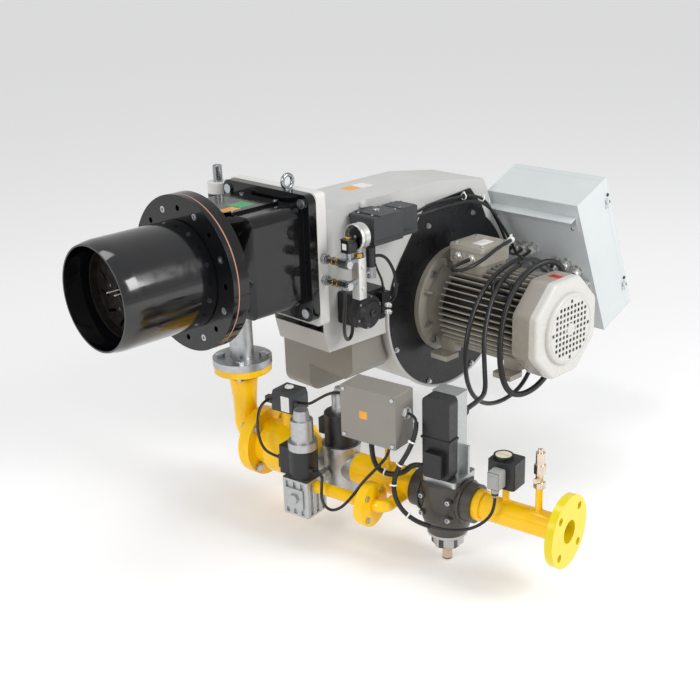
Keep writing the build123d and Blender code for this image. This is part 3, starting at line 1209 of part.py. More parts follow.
# Scroll outline in X and Z: flat top, sloped rear corner, round volute and outlet duct
SCROLL_REAR = (979, -24)
SCROLL_SIDE = (FAN_X + 266, FAN_Z)
SCROLL_FLOOR = (FAN_X, FAN_Z - 255)
SCROLL_LEFT = (FAN_X - 180, FAN_Z - 178)
TONGUE_Z = -266
TONGUE = (FAN_X - sqrt(252**2 - (TONGUE_Z - FAN_Z) ** 2), TONGUE_Z)
SILL = (331, -261)
SILL_TOP = -200


def scroll_outline(inset, start):
    """Outline of the scroll, moved inwards by the sheet thickness."""
    with BuildLine() as outline:
        Polyline(
            (start, SILL_TOP + inset),
            (start, CASING_TOP - inset),
            (757, CASING_TOP - inset),
            (941 - inset / 2, 79 - inset),
            (960 - inset, 47 - inset / 2),
            (SCROLL_REAR[0] - inset, SCROLL_REAR[1]),
        )
        ThreePointArc(
            (SCROLL_REAR[0] - inset, SCROLL_REAR[1]),
            (SCROLL_SIDE[0] - inset, SCROLL_SIDE[1]),
            (SCROLL_FLOOR[0], SCROLL_FLOOR[1] + inset),
        )
        ThreePointArc(
            (SCROLL_FLOOR[0], SCROLL_FLOOR[1] + inset),
            (SCROLL_LEFT[0] + inset * 0.7, SCROLL_LEFT[1] + inset * 0.7),
            (TONGUE[0] + inset, TONGUE[1] + inset),
        )
        Polyline(
            (TONGUE[0] + inset, TONGUE[1] + inset),
            (SILL[0] + inset, SILL[1] + inset),
            (start, SILL_TOP + inset),
        )
    return outline.line


# Scroll casing in sheet steel, open to the mounting plate, the motor and the intake
casing_width = CASING_FAR - CASING_NEAR
with BuildPart() as scroll_casing:
    with BuildSketch(near(0, CASING_FAR, 0)):
        make_face(scroll_outline(0, CASING_START))
    extrude(amount=casing_width)
    with BuildSketch(near(0, CASING_FAR - CASING_SHEET, 0)):
        make_face(scroll_outline(CASING_SHEET, CASING_START - 1))
    extrude(amount=casing_width - 2 * CASING_SHEET, mode=Mode.SUBTRACT)
    with BuildSketch(near(FAN_X, CASING_NEAR + CASING_SHEET + 1, FAN_Z)):
        Circle(NEAR_OPENING)
    extrude(amount=CASING_SHEET + 2, mode=Mode.SUBTRACT)
    with BuildSketch(near(FAN_X, CASING_FAR + 1, FAN_Z)):
        Circle(EYE_RADIUS + SHEET)
    extrude(amount=CASING_SHEET + 2, mode=Mode.SUBTRACT)
    with BuildSketch(near(DAMPER_X, CASING_FAR + 1, DAMPER_Z)):
        Circle(DAMPER_SHAFT_RADIUS + SHAFT_FIT)
    extrude(amount=casing_width + 2, mode=Mode.SUBTRACT)
save(scroll_casing.part, "scroll_casing")

# Side plate that carries the motor: a disc with a raised shoulder under the scroll top
PLATE_Y = CASING_NEAR - SIDE_PLATE_THICKNESS
with BuildPart() as side_plate:
    with BuildSketch(near(FAN_X, CASING_NEAR, FAN_Z)):
        Circle(SIDE_PLATE_RADIUS)
        with BuildLine():
            Polyline(
                (-199, 153),
                (-97, 281),
                (83, 294),
                (133, 238),
                (170, 165),
                (0, 0),
                (-199, 153),
            )
        make_face()
        Circle(MOTOR_SHAFT_RADIUS + 12, mode=Mode.SUBTRACT)
        with PolarLocations(MOTOR_PCD / 2, 4, start_angle=45):
            Circle(6 + SHAFT_FIT, mode=Mode.SUBTRACT)
    extrude(amount=SIDE_PLATE_THICKNESS)
save(side_plate.part, "side_plate")

# Bolts of the side plate and of the motor flange
MOTOR_FACE = PLATE_Y
FLANGE_FACE = MOTOR_FACE - MOTOR_FLANGE_THICKNESS
with BuildPart() as fan_bolts:
    with BuildSketch(near(FAN_X, PLATE_Y, FAN_Z)):
        with PolarLocations(SIDE_BOLT_CIRCLE + 14, SIDE_BOLTS, start_angle=22.5):
            Circle(7.5)
    extrude(amount=2)
    with BuildSketch(near(FAN_X, PLATE_Y - 2, FAN_Z)):
        with PolarLocations(SIDE_BOLT_CIRCLE + 14, SIDE_BOLTS, start_angle=22.5):
            RegularPolygon(6, 6)
    extrude(amount=5)
    with BuildSketch(near(FAN_X, CASING_NEAR, FAN_Z)):
        with PolarLocations(MOTOR_PCD / 2, 4, start_angle=45):
            Circle(6)
    extrude(amount=SIDE_PLATE_THICKNESS + MOTOR_FLANGE_THICKNESS)
    with BuildSketch(near(FAN_X, FLANGE_FACE, FAN_Z)):
        with PolarLocations(MOTOR_PCD / 2, 4, start_angle=45):
            RegularPolygon(10, 6)
    extrude(amount=8)
save(fan_bolts.part, "fan_bolts")

# Damper frame: baffle across the outlet duct with a short tunnel round the flap
inner_near = CASING_NEAR + CASING_SHEET
inner_far = CASING_FAR - CASING_SHEET
inner_mid = (inner_near + inner_far) / 2
tunnel_width = inner_far - inner_near
tunnel_inner = tunnel_width - 2 * SHEET
TUNNEL_START = DAMPER_X - DAMPER_TUNNEL / 2
with BuildPart() as damper_frame:
    baffle_bottom = TONGUE_Z + CASING_SHEET
    baffle_height = CASING_TOP - CASING_SHEET - baffle_bottom
    with BuildSketch(rearward(TUNNEL_START - SHEET, inner_mid, baffle_bottom + baffle_height / 2)):
        Rectangle(tunnel_width, baffle_height - 8)
    extrude(amount=SHEET)
    with BuildSketch(rearward(TUNNEL_START, inner_mid, DAMPER_Z)):
        Rectangle(tunnel_width, 2 * DAMPER_HALF + 4 + 2 * SHEET)
    extrude(amount=DAMPER_TUNNEL)
    with BuildSketch(rearward(TUNNEL_START - SHEET, inner_mid, DAMPER_Z)):
        Rectangle(tunnel_inner, 2 * DAMPER_HALF + 4)
    extrude(amount=DAMPER_TUNNEL + SHEET, mode=Mode.SUBTRACT)
    with BuildSketch(near(DAMPER_X, CASING_FAR, DAMPER_Z)):
        Circle(DAMPER_SHAFT_RADIUS + SHAFT_FIT)
    extrude(amount=casing_width, mode=Mode.SUBTRACT)
save(damper_frame.part, "damper_frame")

# Damper flap on its shaft, shut at rest
with BuildPart() as damper_flap:
    with BuildSketch(rearward(DAMPER_X - SHEET / 2, inner_mid, DAMPER_Z)):
        Rectangle(tunnel_inner - 2, 2 * DAMPER_HALF)
    extrude(amount=SHEET)
    with BuildSketch(near(DAMPER_X, CASING_FAR + 4, DAMPER_Z)):
        Circle(DAMPER_SHAFT_RADIUS)
    extrude(amount=CASING_FAR + 4 - AIR_SERVO_BACK + 20)
save(damper_flap.part, "damper_flap")

# Servo of the air damper: lower housing, stepped cover and four feet
AIR_SERVO_MID = AIR_SERVO_X + AIR_SERVO_LENGTH / 2
AIR_SERVO_MID_Y = (AIR_SERVO_BACK + AIR_SERVO_FRONT) / 2
SERVO_SPLIT = AIR_SERVO_X + 0.62 * AIR_SERVO_LENGTH
with BuildPart() as air_servo:
    servo_height = AIR_SERVO_TOP - AIR_SERVO_BOTTOM
    servo_mid_z = (AIR_SERVO_TOP + AIR_SERVO_BOTTOM) / 2
    servo_depth = AIR_SERVO_BACK - AIR_SERVO_FRONT
    with BuildSketch(near(AIR_SERVO_MID, AIR_SERVO_BACK, servo_mid_z)):
        RectangleRounded(AIR_SERVO_LENGTH, servo_height, 5)
    extrude(amount=servo_depth - 12)
    with BuildSketch(near((AIR_SERVO_X + SERVO_SPLIT) / 2, AIR_SERVO_BACK, servo_mid_z)):
        RectangleRounded(SERVO_SPLIT - AIR_SERVO_X - 2, servo_height, 5)
    extrude(amount=servo_depth)
    with BuildSketch(near(AIR_SERVO_MID, CASING_NEAR, servo_mid_z)):
        with GridLocations(AIR_SERVO_LENGTH - 24, servo_height - 16, 2, 2):
            Circle(5)
    extrude(amount=CASING_NEAR - AIR_SERVO_BACK)
    with BuildSketch(rearward(AIR_SERVO_X + AIR_SERVO_LENGTH, AIR_SERVO_MID_Y, servo_mid_z)):
        with GridLocations(28, 1, 2, 1):
            Circle(9)
    extrude(amount=9)
    with BuildSketch(near(DAMPER_X, AIR_SERVO_BACK + 1, DAMPER_Z)):
        Circle(DAMPER_SHAFT_RADIUS + SHAFT_FIT)
    extrude(amount=22, mode=Mode.SUBTRACT)
save(air_servo.part, "air_servo")

# Air intake box: the visible box under the outlet duct and the suction box on the far side
INTAKE_TOP = TONGUE_Z - BODY_GAP


def intake_solid(inset):
    """Outer or inner volume of the intake, as one solid."""
    with BuildPart() as volume:
        with BuildSketch(forward(INTAKE_X + inset)):
            Polygon(
                (-CASING_FAR - 20, INTAKE_TOP - inset),
                (-CASING_FAR - 20, INTAKE_BOTTOM + 12 + inset),
                (90, INTAKE_BOTTOM + inset),
                (-INTAKE_NEAR - inset, INTAKE_BOTTOM + 26 + inset),
                (-INTAKE_NEAR - inset, INTAKE_TOP - inset),
                align=None,
            )
        extrude(amount=-(FAN_X - 190 - INTAKE_X) + 2 * inset)
        with BuildSketch(near(0, CASING_FAR + BODY_GAP + inset, 0)):
            with Locations((
                (INTAKE_X + INTAKE_REAR) / 2,
                (INTAKE_FAR_BOTTOM + INTAKE_FAR_TOP) / 2,
            )):
                RectangleRounded(
                    INTAKE_REAR - INTAKE_X - 2 * inset,
                    INTAKE_FAR_TOP - INTAKE_FAR_BOTTOM - 2 * inset,
                    40 - inset,
                )
        extrude(amount=-(INTAKE_FAR - CASING_FAR - BODY_GAP) + 2 * inset)
        with BuildSketch(near(0, CASING_FAR + BODY_GAP, 0)):
            with Locations((FAN_X, FAN_Z)):
                Circle(262 + inset)
        extrude(amount=casing_width, mode=Mode.SUBTRACT)
    return volume.part


with BuildPart() as air_intake_box:
    add(intake_solid(0))
    add(intake_solid(CASING_SHEET), mode=Mode.SUBTRACT)
    # Eye to the fan, inlet window in the floor and the small window in the front
    with BuildSketch(near(FAN_X, CASING_FAR + BODY_GAP + CASING_SHEET + 1, FAN_Z)):
        Circle(EYE_RADIUS + 34)
    extrude(amount=CASING_SHEET + 2, mode=Mode.SUBTRACT)
    inlet_x = (INTAKE_X + INTAKE_REAR) / 2
    with BuildSketch(flat(inlet_x, (CASING_FAR + INTAKE_FAR) / 2, INTAKE_FAR_BOTTOM - 1)):
        Rectangle(380, 64)
    extrude(amount=CASING_SHEET + 2, mode=Mode.SUBTRACT)
    with BuildSketch(forward(INTAKE_X + CASING_SHEET + 1, CASING_FAR - 26, INTAKE_TOP - 22)):
        Rectangle(34, 30)
    extrude(amount=CASING_SHEET + 2, mode=Mode.SUBTRACT)
save(air_intake_box.part, "air_intake_box")

# Inlet cone: spun ring that leads the air into the eye of the impeller
with BuildPart() as inlet_cone:
    cone_inner = FAN_X + EYE_RADIUS - CASING_SHEET
    cone_outer = FAN_X + EYE_RADIUS
    lip = cone_outer + 26
    lip_back = CASING_FAR + 26
    with BuildSketch(Plane.XY.offset(FAN_Z)):
        with BuildLine():
            Line((cone_outer, 24), (cone_outer, CASING_FAR))
            RadiusArc((cone_outer, CASING_FAR), (lip, lip_back), -26)
            Line((lip, lip_back), (lip, lip_back + CASING_SHEET))
            RadiusArc((lip, lip_back + CASING_SHEET), (cone_inner, CASING_FAR), 26 + CASING_SHEET)
            Line((cone_inner, CASING_FAR), (cone_inner, 24))
            Line((cone_inner, 24), (cone_outer, 24))
        make_face()
    revolve(axis=Axis((FAN_X, 0, FAN_Z), (0, 1, 0)))
    with BuildSketch(near(FAN_X, CASING_FAR + BODY_GAP, FAN_Z)):
        Circle(EYE_RADIUS + SHEET)
        Circle(EYE_RADIUS - 1, mode=Mode.SUBTRACT)
    extrude(amount=CASING_SHEET + BODY_GAP)
save(inlet_cone.part, "inlet_cone")

# Impeller: back plate and hub, forward-curved blades and the shroud ring
BLADE_ARC = (
    (IMPELLER_INNER, 0),
    ((IMPELLER_INNER + IMPELLER_RADIUS) / 2 + 4, 18),
    (IMPELLER_RADIUS - 7, 46),
)
with BuildPart() as impeller:
    with BuildSketch(near(FAN_X, IMPELLER_NEAR, FAN_Z)):
        Circle(IMPELLER_RADIUS)
    extrude(amount=-SHEET)
    with BuildSketch(near(FAN_X, IMPELLER_FAR, FAN_Z)):
        Circle(IMPELLER_RADIUS)
        Circle(IMPELLER_INNER - 10, mode=Mode.SUBTRACT)
    extrude(amount=SHEET)
    with BuildSketch(near(FAN_X, IMPELLER_FAR - SHEET, FAN_Z)):
        for index in range(IMPELLER_BLADES):
            with BuildLine(Plane.XY.rotated((0, 0, 360 / IMPELLER_BLADES * index))) as blade:
                ThreePointArc(*BLADE_ARC)
                offset(amount=1.25)
            make_face()
    extrude(amount=IMPELLER_FAR - IMPELLER_NEAR - 2 * SHEET)
    with BuildSketch(near(FAN_X, IMPELLER_NEAR + 60, FAN_Z)):
        Circle(HUB_RADIUS)
        Circle(MOTOR_SHAFT_RADIUS, mode=Mode.SUBTRACT)
    extrude(amount=60)
    with BuildSketch(near(FAN_X, IMPELLER_NEAR + SHEET, FAN_Z)):
        Circle(MOTOR_SHAFT_RADIUS)
    extrude(amount=SHEET, mode=Mode.SUBTRACT)
save(impeller.part, "impeller")

# Motor shaft with the cooling fan at its free end
COOLING_FAN_Y = MOTOR_BODY_END - 22
with BuildPart() as motor_shaft:
    with BuildSketch(near(FAN_X, IMPELLER_NEAR + 66, FAN_Z)):
        Circle(MOTOR_SHAFT_RADIUS)
    extrude(amount=IMPELLER_NEAR + 66 - COOLING_FAN_Y + 30)
    with BuildSketch(near(FAN_X, COOLING_FAN_Y, FAN_Z)):
        Circle(90)
    extrude(amount=SHEET)
    with BuildSketch(near(FAN_X, COOLING_FAN_Y - SHEET, FAN_Z)):
        with PolarLocations(58, 9):
            Rectangle(60, SHEET)
        Circle(30)
    extrude(amount=24)
save(motor_shaft.part, "motor_shaft")

# Motor body: flange, ribbed end bell, finned stator housing and feet
MOTOR_FLOOR = FAN_Z - FOOT_DROP
with BuildPart() as motor_body:
    with BuildSketch(near(FAN_X, MOTOR_FACE, FAN_Z)):
        Circle(MOTOR_FLANGE_RADIUS)
    extrude(amount=MOTOR_FLANGE_THICKNESS)
    with BuildSketch(near(FAN_X, FLANGE_FACE, FAN_Z)):
        Circle(MOTOR_FLANGE_RADIUS - 34)
    with BuildSketch(near(FAN_X, MOTOR_BELL_END, FAN_Z)):
        Circle(MOTOR_BODY_RADIUS + 4)
    loft()
    with BuildSketch(near(FAN_X, FLANGE_FACE, FAN_Z)):
        with PolarLocations(MOTOR_FLANGE_RADIUS - 30, 8, start_angle=22.5):
            Rectangle(36, 6)
    extrude(amount=14)
    with BuildSketch(near(FAN_X, MOTOR_BELL_END, FAN_Z)):
        Circle(MOTOR_BODY_RADIUS)
        with PolarLocations((MOTOR_FIN_RADIUS + MOTOR_BODY_RADIUS) / 2 - 3, MOTOR_FINS):
            Rectangle(MOTOR_FIN_RADIUS - MOTOR_BODY_RADIUS + 6, 3.2)
    extrude(amount=MOTOR_BELL_END - MOTOR_BODY_END)
    foot_length = FOOT_FAR - FOOT_NEAR
    with BuildSketch(flat(FAN_X, (FOOT_NEAR + FOOT_FAR) / 2, MOTOR_FLOOR)):
        with GridLocations(2 * FOOT_SPREAD - 18, foot_length - 60, 2, 2):
            RectangleRounded(54, 60, 6)
    extrude(amount=14)
    with BuildSketch(flat(FAN_X, (FOOT_NEAR + FOOT_FAR) / 2, MOTOR_FLOOR + 14)):
        with GridLocations(2 * FOOT_SPREAD - 74, foot_length - 60, 2, 2):
            Rectangle(26, 48)
    extrude(amount=48)
    with BuildSketch(flat(FAN_X - 8, TERMINAL_BOX_Y, FAN_Z)):
        Rectangle(TERMINAL_BOX_SIZE - 16, TERMINAL_BOX_SIZE - 16)
    extrude(amount=TERMINAL_BOX_TOP - 48 - FAN_Z)
    with BuildSketch(flat(FAN_X, (FOOT_NEAR + FOOT_FAR) / 2, MOTOR_FLOOR - 1)):
        with GridLocations(2 * FOOT_SPREAD, foot_length - 60, 2, 2):
            Circle(6)
    extrude(amount=16, mode=Mode.SUBTRACT)
    with BuildSketch(near(FAN_X, MOTOR_FACE, FAN_Z)):
        with PolarLocations(MOTOR_PCD / 2, 4, start_angle=45):
            Circle(6 + SHAFT_FIT)
    extrude(amount=MOTOR_FLANGE_THICKNESS, mode=Mode.SUBTRACT)
    with BuildSketch(near(FAN_X, MOTOR_FACE, FAN_Z)):
        Circle(MOTOR_SHAFT_RADIUS + SHAFT_FIT)
    extrude(amount=MOTOR_FACE - MOTOR_BODY_END, mode=Mode.SUBTRACT)
    with BuildSketch(near(FAN_X, MOTOR_FACE - 30, FAN_Z)):
        Circle(MOTOR_SHAFT_RADIUS + 40)
    extrude(amount=MOTOR_FACE - MOTOR_BODY_END - 55, mode=Mode.SUBTRACT)
save(motor_body.part, "motor_body")

# Terminal box on top of the motor, with two cable glands
with BuildPart() as terminal_box:
    with BuildSketch(flat(FAN_X - 8, TERMINAL_BOX_Y, TERMINAL_BOX_TOP - 48)):
        RectangleRounded(TERMINAL_BOX_SIZE, TERMINAL_BOX_SIZE, 10)
    extrude(amount=36)
    with BuildSketch(flat(FAN_X - 8, TERMINAL_BOX_Y, TERMINAL_BOX_TOP - 12)):
        RectangleRounded(TERMINAL_BOX_SIZE + 6, TERMINAL_BOX_SIZE + 6, 12)
    extrude(amount=12, taper=14)
    with BuildSketch(forward(FAN_X - 8 - TERMINAL_BOX_SIZE / 2, TERMINAL_BOX_Y, TERMINAL_BOX_TOP - 30)):
        with GridLocations(46, 1, 2, 1):
            Circle(11)
    extrude(amount=14)
save(terminal_box.part, "terminal_box")

# Fan cover of the motor: eight-sided drawn shell with a raised ring and a grid of holes
COVER_CORNER = MOTOR_COVER_RADIUS * (1 - tan(radians(22.5)))
with BuildPart() as fan_cover:
    cover_shell = 2.5
    with BuildSketch(near(FAN_X, MOTOR_BODY_END + 14, FAN_Z)) as cover_outline:
        Rectangle(2 * MOTOR_COVER_RADIUS, 2 * MOTOR_COVER_RADIUS)
        chamfer(cover_outline.vertices(), COVER_CORNER)
        fillet(cover_outline.vertices(), 24)
    extrude(amount=MOTOR_BODY_END + 14 - MOTOR_COVER_END - 12)
    fillet(fan_cover.edges().group_by(Axis.Y)[0], 10)
    with BuildSketch(near(FAN_X, MOTOR_COVER_END + 12, FAN_Z)):
        Circle(GRILLE_RADIUS + 14)
    extrude(amount=12)
    fillet(fan_cover.edges().group_by(Axis.Y)[0], 6)
    with BuildSketch(near(FAN_X, MOTOR_BODY_END + 14, FAN_Z)):
        Circle(MOTOR_FIN_RADIUS + BODY_GAP)
    extrude(amount=14, mode=Mode.SUBTRACT)
    with BuildSketch(near(FAN_X, MOTOR_BODY_END, FAN_Z)):
        Circle(MOTOR_COVER_RADIUS - cover_shell)
    extrude(amount=MOTOR_BODY_END - MOTOR_COVER_END - 12 - 14, mode=Mode.SUBTRACT)
    with BuildSketch(near(FAN_X, MOTOR_BODY_END - 40, FAN_Z)):
        Circle(GRILLE_RADIUS + 10)
    extrude(amount=MOTOR_BODY_END - 40 - MOTOR_COVER_END - cover_shell, mode=Mode.SUBTRACT)
    with BuildSketch(near(FAN_X, MOTOR_COVER_END + 12, FAN_Z)):
        rows = int(GRILLE_RADIUS / GRILLE_PITCH)
        for row in range(-rows, rows + 1):
            for column in range(-rows, rows + 1):
                reach = sqrt(row**2 + column**2) * GRILLE_PITCH + GRILLE_HOLE / 2
                if GRILLE_PITCH < reach < GRILLE_RADIUS:
                    with Locations((column * GRILLE_PITCH, row * GRILLE_PITCH)):
                        Rectangle(GRILLE_HOLE, GRILLE_HOLE)
    extrude(amount=14, mode=Mode.SUBTRACT)
save(fan_cover.part, "fan_cover")

# Gauge group: nipples from the mounting plate, tees and the upright block
PLATE_SIDE = -PLATE_HALF_WIDTH
with BuildPart() as gauge_manifold:
    for height in NIPPLE_HEIGHTS:
        with BuildSketch(near(NIPPLE_X, PLATE_SIDE, height)):
            Circle(NIPPLE_RADIUS)
        extrude(amount=PLATE_SIDE - GROUP_Y)
        with BuildSketch(near(NIPPLE_X, PLATE_SIDE, height)):
            RegularPolygon(NIPPLE_RADIUS + 4, 6)
        extrude(amount=16)
        with BuildSketch(near(NIPPLE_X, GROUP_Y + 14, height)):
            RegularPolygon(NIPPLE_RADIUS + 4, 6)
        extrude(amount=28)
        with BuildSketch(rearward(NIPPLE_X, GROUP_Y, height)):
            Circle(NIPPLE_RADIUS - 1)
        extrude(amount=BLOCK_X - BLOCK_SIZE / 2 - NIPPLE_X)
    with BuildSketch(flat(BLOCK_X, GROUP_Y, BLOCK_BOTTOM)):
        Rectangle(BLOCK_SIZE, BLOCK_SIZE)
    extrude(amount=BLOCK_TOP - BLOCK_BOTTOM)
    with BuildSketch(flat(BLOCK_X, GROUP_Y, BLOCK_TOP)):
        RegularPolygon(NIPPLE_RADIUS, 6)
    extrude(amount=GAUGE_Z - GAUGE_RADIUS - BLOCK_TOP)
    # Side branch with its hex fitting, black valve and the tee of the small solenoid
    with BuildSketch(rearward(BLOCK_X, GROUP_Y, BLOCK_TOP - 46)):
        Circle(6)
    extrude(amount=BRANCH)
    with BuildSketch(flat(BLOCK_X + BRANCH, GROUP_Y, BLOCK_TOP - 60)):
        RegularPolygon(13, 6)
    extrude(amount=28)
    with BuildSketch(flat(NIPPLE_X + 16, GROUP_Y, NIPPLE_HEIGHTS[0])):
        Circle(6)
    extrude(amount=26)
save(gauge_manifold.part, "gauge_manifold")

# Black bodies on the gauge group: the small solenoid and the shut-off valve
with BuildPart() as manifold_valves:
    with BuildSketch(flat(NIPPLE_X + 16, GROUP_Y, NIPPLE_HEIGHTS[0] + 26)):
        RectangleRounded(28, 28, 3)
    extrude(amount=30)
    with BuildSketch(flat(BLOCK_X + BRANCH, GROUP_Y, BLOCK_TOP - 32)):
        Circle(VALVE_KNOB)
    extrude(amount=49)
save(manifold_valves.part, "manifold_valves")

# Pressure gauge: case with a rim round the open dial
GAUGE_FACE = BLOCK_X - GAUGE_DEPTH / 2
with BuildPart() as pressure_gauge:
    with BuildSketch(forward(BLOCK_X + GAUGE_DEPTH / 2, GROUP_Y, GAUGE_Z)):
        Circle(GAUGE_RADIUS)
    extrude(amount=GAUGE_DEPTH)
    fillet(pressure_gauge.edges().group_by(Axis.X)[-1], 4)
    with BuildSketch(forward(GAUGE_FACE, GROUP_Y, GAUGE_Z)):
        Circle(GAUGE_RADIUS - 3)
    extrude(amount=-6, mode=Mode.SUBTRACT)
    with BuildSketch(forward(GAUGE_FACE + 6, GROUP_Y, GAUGE_Z)):
        Circle(2)
    extrude(amount=4)
save(pressure_gauge.part, "pressure_gauge")

with BuildPart() as gauge_needle:
    with BuildSketch(forward(GAUGE_FACE + 4.5, GROUP_Y, GAUGE_Z)):
        Circle(4)
        with Locations((-NEEDLE_OFFSET, -NEEDLE_OFFSET)):
            Rectangle(2, 26, rotation=-45)
        Circle(2 + SHAFT_FIT, mode=Mode.SUBTRACT)
    extrude(amount=1)
save(gauge_needle.part, "gauge_needle")

# Air pressure switch: round diaphragm case on a bracket box
with BuildPart() as air_pressure_switch:
    with BuildSketch(near(AIR_SWITCH_X + 30, CASING_NEAR, AIR_SWITCH_Z)):
        RectangleRounded(110, 84, 6)
    extrude(amount=CASING_NEAR + 198)
    with BuildSketch(near(AIR_SWITCH_X, -198, AIR_SWITCH_Z)):
        Circle(AIR_SWITCH_RADIUS)
    extrude(amount=26)
    with BuildSketch(near(AIR_SWITCH_X, -224, AIR_SWITCH_Z)):
        Circle(AIR_SWITCH_RADIUS - 8)
    extrude(amount=12, taper=30)
    with BuildSketch(near(AIR_SWITCH_X + 66, -198, AIR_SWITCH_Z + 8)):
        RectangleRounded(30, 56, 4)
    extrude(amount=22)
save(air_pressure_switch.part, "air_pressure_switch")

# Cabinet bracket: two leaning rails, each with a foot on the rear of the scroll
with BuildPart() as panel_bracket:
    for drop, foot in ((RAIL_DROP, 34), (STRUT_DROP, 40)):
        with BuildSketch(CABINET):
            with Locations((-SHEET / 2, -drop)):
                Rectangle(SHEET, 46)
            with Locations((-14, -drop + 21.5)):
                Rectangle(28, SHEET)
        extrude(amount=CABINET_WIDTH - 12)
        with BuildSketch(CABINET):
            with Locations((-foot / 2, -drop - 4)):
                Rectangle(foot, 34)
        extrude(amount=-120)
    with BuildSketch(near(0, CASING_FAR + 60, 0)):
        make_face(scroll_outline(0, CASING_START))
    extrude(amount=casing_width + 80, mode=Mode.SUBTRACT)
save(panel_bracket.part, "panel_bracket")


BODY_DEPTH = CABINET_DEPTH - DOOR_DEPTH


def hinge_plane(height):
    """Plane across a cabinet hinge, facing up along the cabinet."""
    return Plane(
        origin=CABINET.from_local_coords((BODY_DEPTH, height, CABINET_WIDTH + DOOR_HINGE_RADIUS)),
        x_dir=CABINET.x_dir,
        z_dir=CABINET.y_dir,
    )


# Cabinet body: sheet box open at the rear, with glands in its front wall
with BuildPart() as cabinet_body:
    with BuildSketch(CABINET):
        with Locations((BODY_DEPTH / 2, -CABINET_HEIGHT / 2)):
            Rectangle(BODY_DEPTH, CABINET_HEIGHT)
    extrude(amount=CABINET_WIDTH)
    with BuildSketch(CABINET.offset(CABINET_WALL)):
        with Locations((BODY_DEPTH / 2 + CABINET_WALL, -CABINET_HEIGHT / 2)):
            Rectangle(BODY_DEPTH, CABINET_HEIGHT - 2 * CABINET_WALL)
    extrude(amount=CABINET_WIDTH - 2 * CABINET_WALL, mode=Mode.SUBTRACT)
    for down, along in CABINET_GLANDS:
        with BuildSketch(cabinet_front(0, down, along)):
            RegularPolygon(15, 6)
        extrude(amount=GLAND_REACH / 2)
        with BuildSketch(cabinet_front(0, down, along)):
            Circle(11)
        extrude(amount=GLAND_REACH)
    for height in DOOR_HINGES:
        with BuildSketch(hinge_plane(height)):
            Circle(DOOR_HINGE_RADIUS)
            with Locations((-4, DOOR_HINGE_RADIUS / 2 + 0.5)):
                Rectangle(8, DOOR_HINGE_RADIUS + 1)
        extrude(amount=DOOR_HINGE_HEIGHT)
        with BuildSketch(hinge_plane(height)):
            Circle(DOOR_PIN_RADIUS)
        extrude(amount=2 * DOOR_HINGE_HEIGHT)
save(cabinet_body.part, "cabinet_body")

# Cabinet door: shallow pan over the rear, on hinge pins along its motor-side edge
with BuildPart() as cabinet_door:
    with BuildSketch(CABINET):
        with Locations((CABINET_DEPTH - DOOR_DEPTH / 2 + BODY_GAP / 2, -CABINET_HEIGHT / 2)):
            Rectangle(DOOR_DEPTH - BODY_GAP, CABINET_HEIGHT)
    extrude(amount=CABINET_WIDTH)
    with BuildSketch(CABINET.offset(CABINET_WALL)):
        with Locations((CABINET_DEPTH - DOOR_DEPTH / 2 - CABINET_WALL, -CABINET_HEIGHT / 2)):
            Rectangle(DOOR_DEPTH, CABINET_HEIGHT - 2 * CABINET_WALL)
    extrude(amount=CABINET_WIDTH - 2 * CABINET_WALL, mode=Mode.SUBTRACT)
    for height in DOOR_HINGES:
        with BuildSketch(hinge_plane(height + DOOR_HINGE_HEIGHT + BODY_GAP)):
            Circle(DOOR_HINGE_RADIUS)
            with Locations((4 + BODY_GAP / 2, DOOR_HINGE_RADIUS / 2 + 0.5)):
                Rectangle(8 - BODY_GAP, DOOR_HINGE_RADIUS + 1)
            Circle(DOOR_PIN_RADIUS + SHAFT_FIT, mode=Mode.SUBTRACT)
        extrude(amount=DOOR_HINGE_HEIGHT)
save(cabinet_door.part, "cabinet_door")


def on_train(x, s, z):
    """Point of the gas line as a tuple of the part's own coordinates."""
    return tuple(TRAIN.from_local_coords((x, -s, z)))


def cabinet_gland(index, reach):
    """Point on the axis of a cabinet gland."""
    down, along = CABINET_GLANDS[index]
    return tuple(CABINET.from_local_coords((-reach, down, along)))


def cord(points, radius, name):
    """Round cord along straight runs, with each corner as wide as its runs allow."""
    runs = [Vector(*end) - Vector(*start) for start, end in zip(points, points[1:])]
    bends = []
    for before, after in zip(runs, runs[1:]):
        half_turn = radians(before.get_angle(after)) / 2
        bends.append(0.45 * min(before.length, after.length) / tan(half_turn))
    with BuildPart() as solid:
        with BuildLine() as route:
            FilletPolyline(*points, radius=bends)
        with BuildSketch(Plane(origin=points[0], z_dir=runs[0])):
            Circle(radius)
        sweep(path=route.line)
    length = sum(edge.length for edge in route.edges())
    print(name, "length", round(length), "least bend", round(min(bends)),
          "volume ratio", round(solid.part.volume / (pi * radius**2 * length), 3))
    return solid.part


# Free cable from the cabinet to the plug behind the gas valve actuator
CABLE_RADIUS = 6
LEAD_RADIUS = 3.5
PLUG_X_BACK = ACTUATOR_REAR_X + SOCKET_RISE + BODY_GAP + PLUG_LENGTH
ACTUATOR_ROUTE = [
    cabinet_gland(4, GLAND_REACH),
    cabinet_gland(4, GLAND_REACH + 40),
    (940, -358, -130),
    (862, -374, -88),
    (772, -392, -82),
    (678, -412, -94),
    (604, -432, -142),
    (556, -454, -210),
    (514, -492, -266),
    (460, -540, -298),
    on_train(PLUG_X_BACK + 60, ACTUATOR_S, ACTUATOR_SOCKET_Z),
    on_train(PLUG_X_BACK, ACTUATOR_S, ACTUATOR_SOCKET_Z),
]
actuator_cable = cord(ACTUATOR_ROUTE, CABLE_RADIUS, "actuator_cable")
save(actuator_cable, "actuator_cable")

